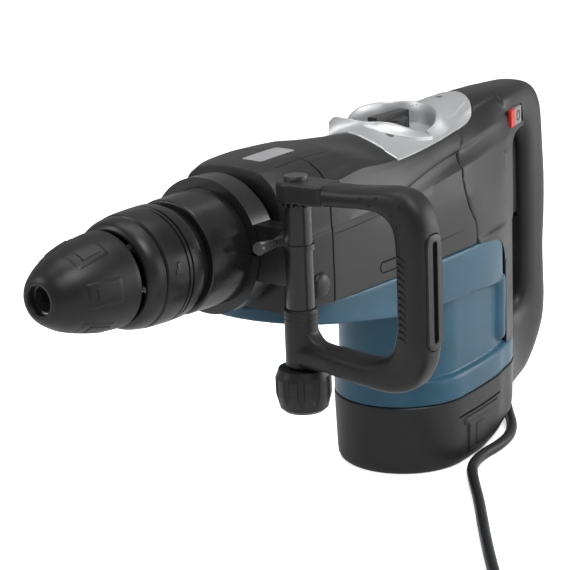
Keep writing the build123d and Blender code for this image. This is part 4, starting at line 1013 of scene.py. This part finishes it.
def hood_section(x, y, z, reach):
    """Hood round the recess: upright inner wall, rounded rim, long outer slope."""
    spread = 1 + reach / max(1, math.hypot(x, y))
    foot = min(surface_z(x * spread, y * spread) + 0.4, z)
    drop = z - foot
    return [(0.3, RECESS_FLOOR_Z - 3), (0.1, (z + RECESS_FLOOR_Z) / 2), (0, z - 1.2), (-0.6, z - 0.3),
            (-1.4, z), (-0.2 * reach, z - drop * 0.06), (-0.4 * reach, z - drop * 0.34),
            (-0.62 * reach, z - drop * 0.68), (-0.86 * reach, foot + drop * 0.06),
            (-reach, foot - 0.9), (-reach, RECESS_FLOOR_Z - 9)]


def lip_section(x, y, z, reach):
    """Lip in front of the lever: thin top edge with a flared outer foot."""
    foot = min(surface_z(x, y) + 0.6, z - 0.4)
    rise = (z - foot) * min(1, reach / 8)
    return [(-1.2, RECESS_FLOOR_Z - 3), (-1.2, z - 1), (-0.6, z - 0.2), (0.5, z), (1.3, z - 0.4),
            (2, foot + rise * 0.62), (3.4, foot + rise * 0.26), (6, foot + rise * 0.03),
            (8, foot - 1.2), (8, RECESS_FLOOR_Z - 9)]


def silver_pocket():
    """Upright block with the silver cover's plan and a gap, used to cut its place in the covers."""
    gap = 0.5
    xs = [SILVER_X0 - gap + (SILVER_X1 - SILVER_X0 + 2 * gap) * i / 90 for i in range(91)]
    outline = [(x, -silver_half(x, gap)) for x in xs] + [(x, silver_half(x, gap)) for x in reversed(xs)]
    outline = [p for i, p in enumerate(outline) if i == 0 or math.dist(p, outline[i - 1]) > 0.05]
    return prism("pocket", outline, "z", 256.5, 300)


def groove_along(points, wide, deep, side):
    """Thin cutter that follows points given as (x, z) on one side face."""
    upper = [(x, z + wide / 2) for x, z in points]
    lower = [(x, z - wide / 2) for x, z in reversed(points)]
    face = FLANK_Y * side
    low, high = sorted((face * 1.08, face - side * deep))
    return prism("groove", upper + lower, "y", low, high)


def screw_head(x, y, z):
    """Head of a cap screw with a round drive, top at z."""
    return turned_z("head", [(0, z - 4), (3, z - 4), (3, z - 0.4), (2.6, z), (1.5, z),
                             (1.5, z - 1.6), (0, z - 1.6)], x, y, 32)


def label_plate():
    """Thin blank plate laid on the covers."""
    x0, x1, y0, y1 = -190, -150, -16, 2
    columns, rows = 20, 10
    rings = []
    for i in range(columns + 1):
        x = x0 + (x1 - x0) * i / columns
        shrink = 1.6 if i in (0, columns) else 0
        across = [y0 + shrink + (y1 - y0 - 2 * shrink) * j / rows for j in range(rows + 1)]
        ring = [(x, y, surface_z(x, y) + 0.25) for y in across]
        rings.append(ring + [(x, y, surface_z(x, y) - 1) for y in reversed(across)])
    return ring_mesh("plate", rings)


def roof_seam(x0, x1, z, side):
    """Cutter for the fine lengthwise seam on the roof of the covers."""
    return box_mesh("seam", x0, x1, side * 30.3 - 0.45, side * 30.3 + 0.45, z, 290)


def add_front_cover():
    """Front cover with its side bosses and the blank plate."""
    front = cover_loft("front", straight_seam(-206.8), straight_seam(FRONT_SEAM_X - SEAM_GAP), 4)
    cuts = []
    for side in (-1, 1):
        cuts.append(groove_along([(-209, 226.5), (-160, 225)], 0.8, 1.2, side))
        cuts.append(roof_seam(-209, -160, 277.6, side))
    bore = turned_x("bore", [(-215, 0), (-215, 43), (-200.5, 43), (-200.5, 0)], 96)
    cuts.append(bore)
    front = carved(front, cuts, 28)
    boss = [turned_y("boss", [(0, 59.4), (3.6, 59.2), (6.6, 58.6), (8.6, 57.6), (9.6, 56.4), (9.6, 55),
                              (8, 52), (0, 52)], -177, 192.6, side)
            for side in (-1, 1)]
    add_piece("front_cover_skin", joined("front_cover_skin", [front] + boss), "housing", "plastic_black",
              replaced=["front_cover"])
    add_piece("blank_plate", label_plate(), "housing", "plate_grey")


def add_body_cover():
    """Body cover with its grooves, the vent frame and the place for the silver cover."""
    body = cover_loft("body", straight_seam(FRONT_SEAM_X + SEAM_GAP), rear_seam(-SEAM_GAP), 5)
    cuts = [silver_pocket()]
    for side in (-1, 1):
        cuts.append(groove_along([(-172, 226.6), (-140, 227.6), (-104, 229.2)], 0.8, 1.2, side))
        cuts.append(groove_along([(-28, 192.6), (28, 194)], 1.1, 1.6, side))
        cuts.append(groove_along([(-20, 186.8), (28, 187.4)], 0.7, 1, side))
        cuts.append(roof_seam(-166, -80, 278.6, side))
        low, high = sorted((side * 62, side * 56))
        cuts.append(carved(prism("slot", rounded_box(-108, -60, 184.2, 193.8, 4.6, 6), "y", low, high),
                           [prism("inner", rounded_box(-106.6, -61.4, 185.6, 192.4, 3.3, 6), "y",
                                  low - 1, high + 1)]))
    body = carved(body, cuts, 24)
    add_piece("body_cover_skin", body, "housing", "plastic_black", replaced=["body_cover"])


def add_silver_cover():
    """Silver cover with the hood and lip round the lever's recess, and two screw heads."""
    silver = silver_mesh()
    recess = smooth_points(LIP_EDGE, 4)[:-1] + smooth_points(HOOD_EDGE, 4)[:-1]
    cutters = [prism("recess", recess, "z", RECESS_FLOOR_Z, 300)]
    cutters += [turned_z("hole", [(0, 266), (3.3, 266), (3.3, 290), (0, 290)], x, y)
                for x, y, _ in SCREW_TOPS]
    silver = carved(silver, cutters, 38)
    rim = smooth_points([(x, y, z) for (x, y), z in zip(HOOD_EDGE, HOOD_RIM_Z)], 5)
    hood = rim_sections("hood", rim, hood_section)
    lip = rim_sections("lip", list(reversed(smooth_points(LIP_PATH, 5))), lip_section)
    add_piece("silver_skin", joined("silver_skin", [silver, hood, lip]), "housing", "silver_metal",
              replaced=["top_cover"])
    heads = [screw_head(*top) for top in SCREW_TOPS]
    add_piece("screw_heads", joined("screw_heads", heads), "housing", "steel_dark",
              replaced=["housing_screws"])


add_front_cover()
add_body_cover()
add_silver_cover()


# ---------------------------------------------------------------- motor housing, base and rear handle
CAP_Z = 57
CAP_R = 57
LOOP_X = 118
BOTTOM_X0, BOTTOM_RISE = 35, 16 / 87
EGG_HALF = [(0, 0), (30, 2), (62, 6), (80, 10.6), (99, 15.6), (118, 25.2)]
BAND_PLAN = [(-205, 0), (-204, 12), (-200, 25), (-193, 36), (-184, 45), (-172, 51), (-156, 54.6),
             (-130, 56.6), (-95, 57.4), (-50, 57.5), (0, 57.2), (30, 55.6), (52, 53), (68, 49.6), (78, 46.4),
             (84, 41.5), (86, 34), (86, 15), (86, 0)]
BAND_BOTTOM = [(-260, 176), (-60, 140.5), (20, 139.5), (86, 132)]
BAND_LEVELS = ((0, 5), (0, 2.4), (0.02, 0.9), (0.06, 0), (0.5, 0), (0.985, 0), (1, 0.6))


def egg_plan(inset, rear_x):
    """Egg-shaped plan of the base as (x, y), from the rear left round the front to the rear right."""
    points = 48
    half = []
    for i in range(points + 1):
        angle = math.pi - (math.pi / 2) * i / points
        half.append(((CAP_R - inset) * math.cos(angle), (CAP_R - inset) * math.sin(angle)))
    for x, drop in smooth_points(EGG_HALF, 4)[1:]:
        if x < rear_x - 3:
            half.append((x, CAP_R - inset - drop))
    last = CAP_R - inset - interpolate(EGG_HALF, rear_x)
    half += [(rear_x - 2.4, last + 0.9), (rear_x - 0.7 - inset * 0.2, last - 0.4),
             (rear_x - inset * 0.4, last - 2.6), (rear_x - inset * 0.4, last * 0.5)]
    return [(x, -y) for x, y in reversed(half)] + half[1:]


def plan_loft(name, levels, rear_x=LOOP_X, bottom=None):
    """Upright loft of the egg plan through (z, inset) levels, on a flat or a rising bottom."""
    rings = []
    for z, inset in levels:
        ring = []
        for x, y in egg_plan(inset, rear_x):
            height = z if bottom is None else z + bottom(x) * max(0, 1 - z / CAP_Z)
            ring.append((x, y, height))
        rings.append(ring)
    return ring_mesh(name, rings, sharp=30)


def band_loft():
    """Upper blue band whose underside slopes up towards the front."""
    half = smooth_points(BAND_PLAN, 4)
    rings = []
    for share, inset in BAND_LEVELS:
        ring = []
        for x, y in half:
            low = interpolate(BAND_BOTTOM, x) + (1.5 if inset > 4 else 0)
            z = low + (177.3 - low) * share
            pull = 1 - inset / 57
            ring.append((-60 + (x + 60) * pull, -y * pull, z))
        rings.append(ring + [(x, -y, z) for x, y, z in reversed(ring[1:-1])])
    return ring_mesh("band", rings)


def add_motor_housing():
    """Blue motor housing: sloping band, column, lower ring and rear corner bosses."""
    column = plan_loft("column", [(60, 5), (165, 5)], 90)
    ring = plan_loft("ring", [(57.2, 0.7), (58.2, 0.3), (73.5, 0.3), (76.4, 1), (78, 2.6)], 117)
    boss = [(0, 84), (8, 84), (10, 87), (10.6, 120), (10.6, 138), (0, 138)]
    bosses = [turned_z("boss", boss, 76, side * 38) for side in (-1, 1)]
    skin = fused("motor_skin", [band_loft(), column, ring] + bosses, 1.15, 7, sharp=45)
    low_cut = plan_loft("cut", [(40, -8), (57.25, -8)], 140)
    skin = carved(skin, [low_cut], 45)
    add_piece("motor_housing_skin", skin, "housing", "plastic_blue", replaced=["motor_housing"])


def base_rise(x):
    """Height of the base's underside at x."""
    return max(0, (x - BOTTOM_X0) * BOTTOM_RISE)


def wall_patch(x0, x1, z0, z1, lift):
    """Raised pad on the left wall of the base, with edges one millimetre wide."""
    def place(x, z, share):
        face = CAP_R - interpolate(EGG_HALF, x) - interpolate(BASE_LEVELS, z)
        return [(x, -(face + lift * share), z), (x, -(face - 2), z)]
    return pad_mesh(24, 14, (x0, x1), (z0, z1), 1, place)


BASE_LEVELS = [(0, 7.5), (0.5, 4.6), (1.8, 3), (4.5, 1.9), (10, 1.4), (56, 0), (56.8, 0.8)]


def add_base():
    """Black base cap with a slit and a raised bracket on its flank."""
    cap = plan_loft("base_cap_skin", BASE_LEVELS, bottom=base_rise)
    outline = [(-3, 40.4), (66, 40.6), (69, 41.4), (66, 42.2), (-3, 42.2), (-4.2, 41.3)]
    slits = joined("slits", [prism("slit", outline, "y", low, low + 18.5) for low in (-60, 41.5)])
    slits = carved(slits, [box_mesh("inside", -60, 64, -46, 46, 38, 44)])
    slits = carved(slits, [plan_loft("inner", [(39, 3.2), (44, 3.2)])])
    cap = carved(cap, [slits], 30)
    pads = [wall_patch(2, 62, 32.5, 38.5, 1.6), wall_patch(9, 45, 8, 33.5, 1.6),
            wall_patch(20, 34, 10, 31, 2.1)]
    mirrored = []
    for pad in pads:
        twin = pad.copy()
        twin.transform(Matrix.Scale(-1, 4, (0, 1, 0)))
        twin.flip_normals()
        mirrored.append(twin)
    add_piece("base_cap_skin", joined("base_cap_skin", [cap] + pads + mirrored), "housing", "plastic_black",
              replaced=["base_cap"])


LOOP_PAIRS = [((112, 284.6), (112, 247)), ((126, 285), (124, 248.5)), ((150, 285.2), (138, 249.3)),
              ((170, 284), (149, 247.2)), ((185, 278), (157, 241)), ((193.6, 267), (161.6, 231)),
              ((197.2, 252), (163, 218)), ((199.4, 228), (163.4, 204)), ((201.8, 198), (163.6, 188)),
              ((201.4, 165), (163.6, 165)), ((199.4, 136), (163.5, 142)), ((200.6, 108), (163, 120)),
              ((201.6, 86), (161.2, 104)), ((198.4, 64), (155.5, 93.5)), ((186, 43), (145, 88.6)),
              ((168, 27), (132, 87.6)), ((145, 20), (121, 88)), ((121, 15.9), (112, 88))]
LOOP_DEPTHS = [28.4, 27, 22.8, 19.4, 18, 17.8, 17.6, 17.6, 17.8, 17.8, 17.6, 17.6, 17.8, 18, 18.6, 20.6,
               24.4, 30]


def loop_loft():
    """Rear grip as a tube between its outer and inner side profiles."""
    rings = tube_rings(LOOP_PAIRS, LOOP_DEPTHS, 3, 48, 6, lambda x, deep, z: (x, deep, z))
    return ring_mesh("loop", rings, sharp=60)


def spine_mesh():
    """Upright rear wall behind the motor housing, down to the base."""
    rings = []
    for z in (57.4, 120, 200, 238):
        half = [(88.6, 43), (99, 39.4), (108, 36), (114.5, 33.4), (117.4, 31.6), (118, 29)]
        ring = [(x, -y, z) for x, y in half] + [(x, y, z) for x, y in reversed(half)]
        rings.append(ring)
    return ring_mesh("spine", rings)


# side view of the place left free for the motor housing, with its rounded upper rear corner
BLUE_SPACE = [(20, 57.2), (87.4, 57.2), (87.2, 136), (86, 146), (84.2, 154), (81, 161),
              (76, 166.8), (69, 170.8), (59, 173.6), (40, 176), (20, 177.5)]


def skirt_mesh():
    """Strip of the rear cover that runs down to the motor housing's rounded corner."""
    half = [(29.5, 56), (40, 55), (52, 53.5), (68, 50.2), (78, 47.2), (88, 43.8), (96, 41)]
    rings = []
    for z, inset in ((150, 0), (179.6, 0), (180.6, 0.8)):
        rings.append([(x, -y + inset, z) for x, y in half] + [(x, y - inset, z) for x, y in reversed(half)])
    return ring_mesh("skirt", rings)


LOCK_TILT_DEG = 16
LOCK_TURN = Matrix.Rotation(math.radians(LOCK_TILT_DEG), 4, "Z")
LOCK_PLACE = Matrix.Translation(Vector((131, -28, 261)) * MM) @ LOCK_TURN


def at_lock(mesh):
    """Move a mesh drawn about the origin to the lock slide's place on the handle's flank."""
    mesh.transform(LOCK_PLACE)
    return mesh


def add_rear_handle():
    """Rear handle: upper cover behind the wavy seam, grip loop, spine and skirt."""
    cover = cover_loft("rear_top", rear_seam(SEAM_GAP), straight_seam(150), 5)
    gap = [(118, 170), (170, 170), (170, 248.8), (138, 248.8), (126, 246), (120, 240),
           (118, 232)]
    cover = carved(cover, [prism("gap", gap, "y", -70, 70)])
    heel = plan_loft("heel", [(16.2, 1.2), (20, 0.8), (56.5, 0.6), (58, 0.8)], 119)
    heel = carved(heel, [box_mesh("front_half", -80, 112, -80, 80, 0, 80)])
    shell = fused("shell", [cover, loop_loft(), spine_mesh(), heel, skirt_mesh()], 1.25, 5, sharp=50)
    pockets = [silver_pocket(), box_mesh("trigger_slot", 150, 171.5, -7.5, 7.5, 165.5, 241.5),
               at_lock(box_mesh("lock_pocket", -19, 19, -6, 2.1, -7.2, 7.2)),
               prism("blue_space", BLUE_SPACE, "y", -60, 60),
               box_mesh("base_space", 60, 118.2, -60, 60, 0, 57.2)]
    shell = carved(shell, pockets, 50)
    add_piece("rear_handle_skin", shell, "housing", "plastic_black",
              replaced=["rear_handle_left", "rear_handle_right"])


def add_lock_slide():
    """Lock slide in two colours, with a plain raised ring."""
    red = at_lock(box_mesh("red", -18, -7.2, -1.2, 1.9, -7, 7, 0.4))
    grey = at_lock(box_mesh("grey", -7.1, 12, -1, 1.9, -7, 7, 0.4))
    ring = turned_y("ring", [(4.6, 1.35), (3.6, 1.35), (3.6, 0.6), (4.6, 0.6)], 0, 0, -1)
    ring.transform(Matrix.Translation((2.4 * MM, 0, 0)))
    ring = at_lock(ring)
    add_piece("lock_slide_skin", red, "lock_slide", "plastic_red", replaced=["lock_slide"])
    add_piece("lock_slide_grey", grey, "lock_slide", "lock_grey")
    add_piece("lock_slide_ring", ring, "lock_slide", "plastic_black")


add_motor_housing()
add_base()
add_rear_handle()
add_lock_slide()
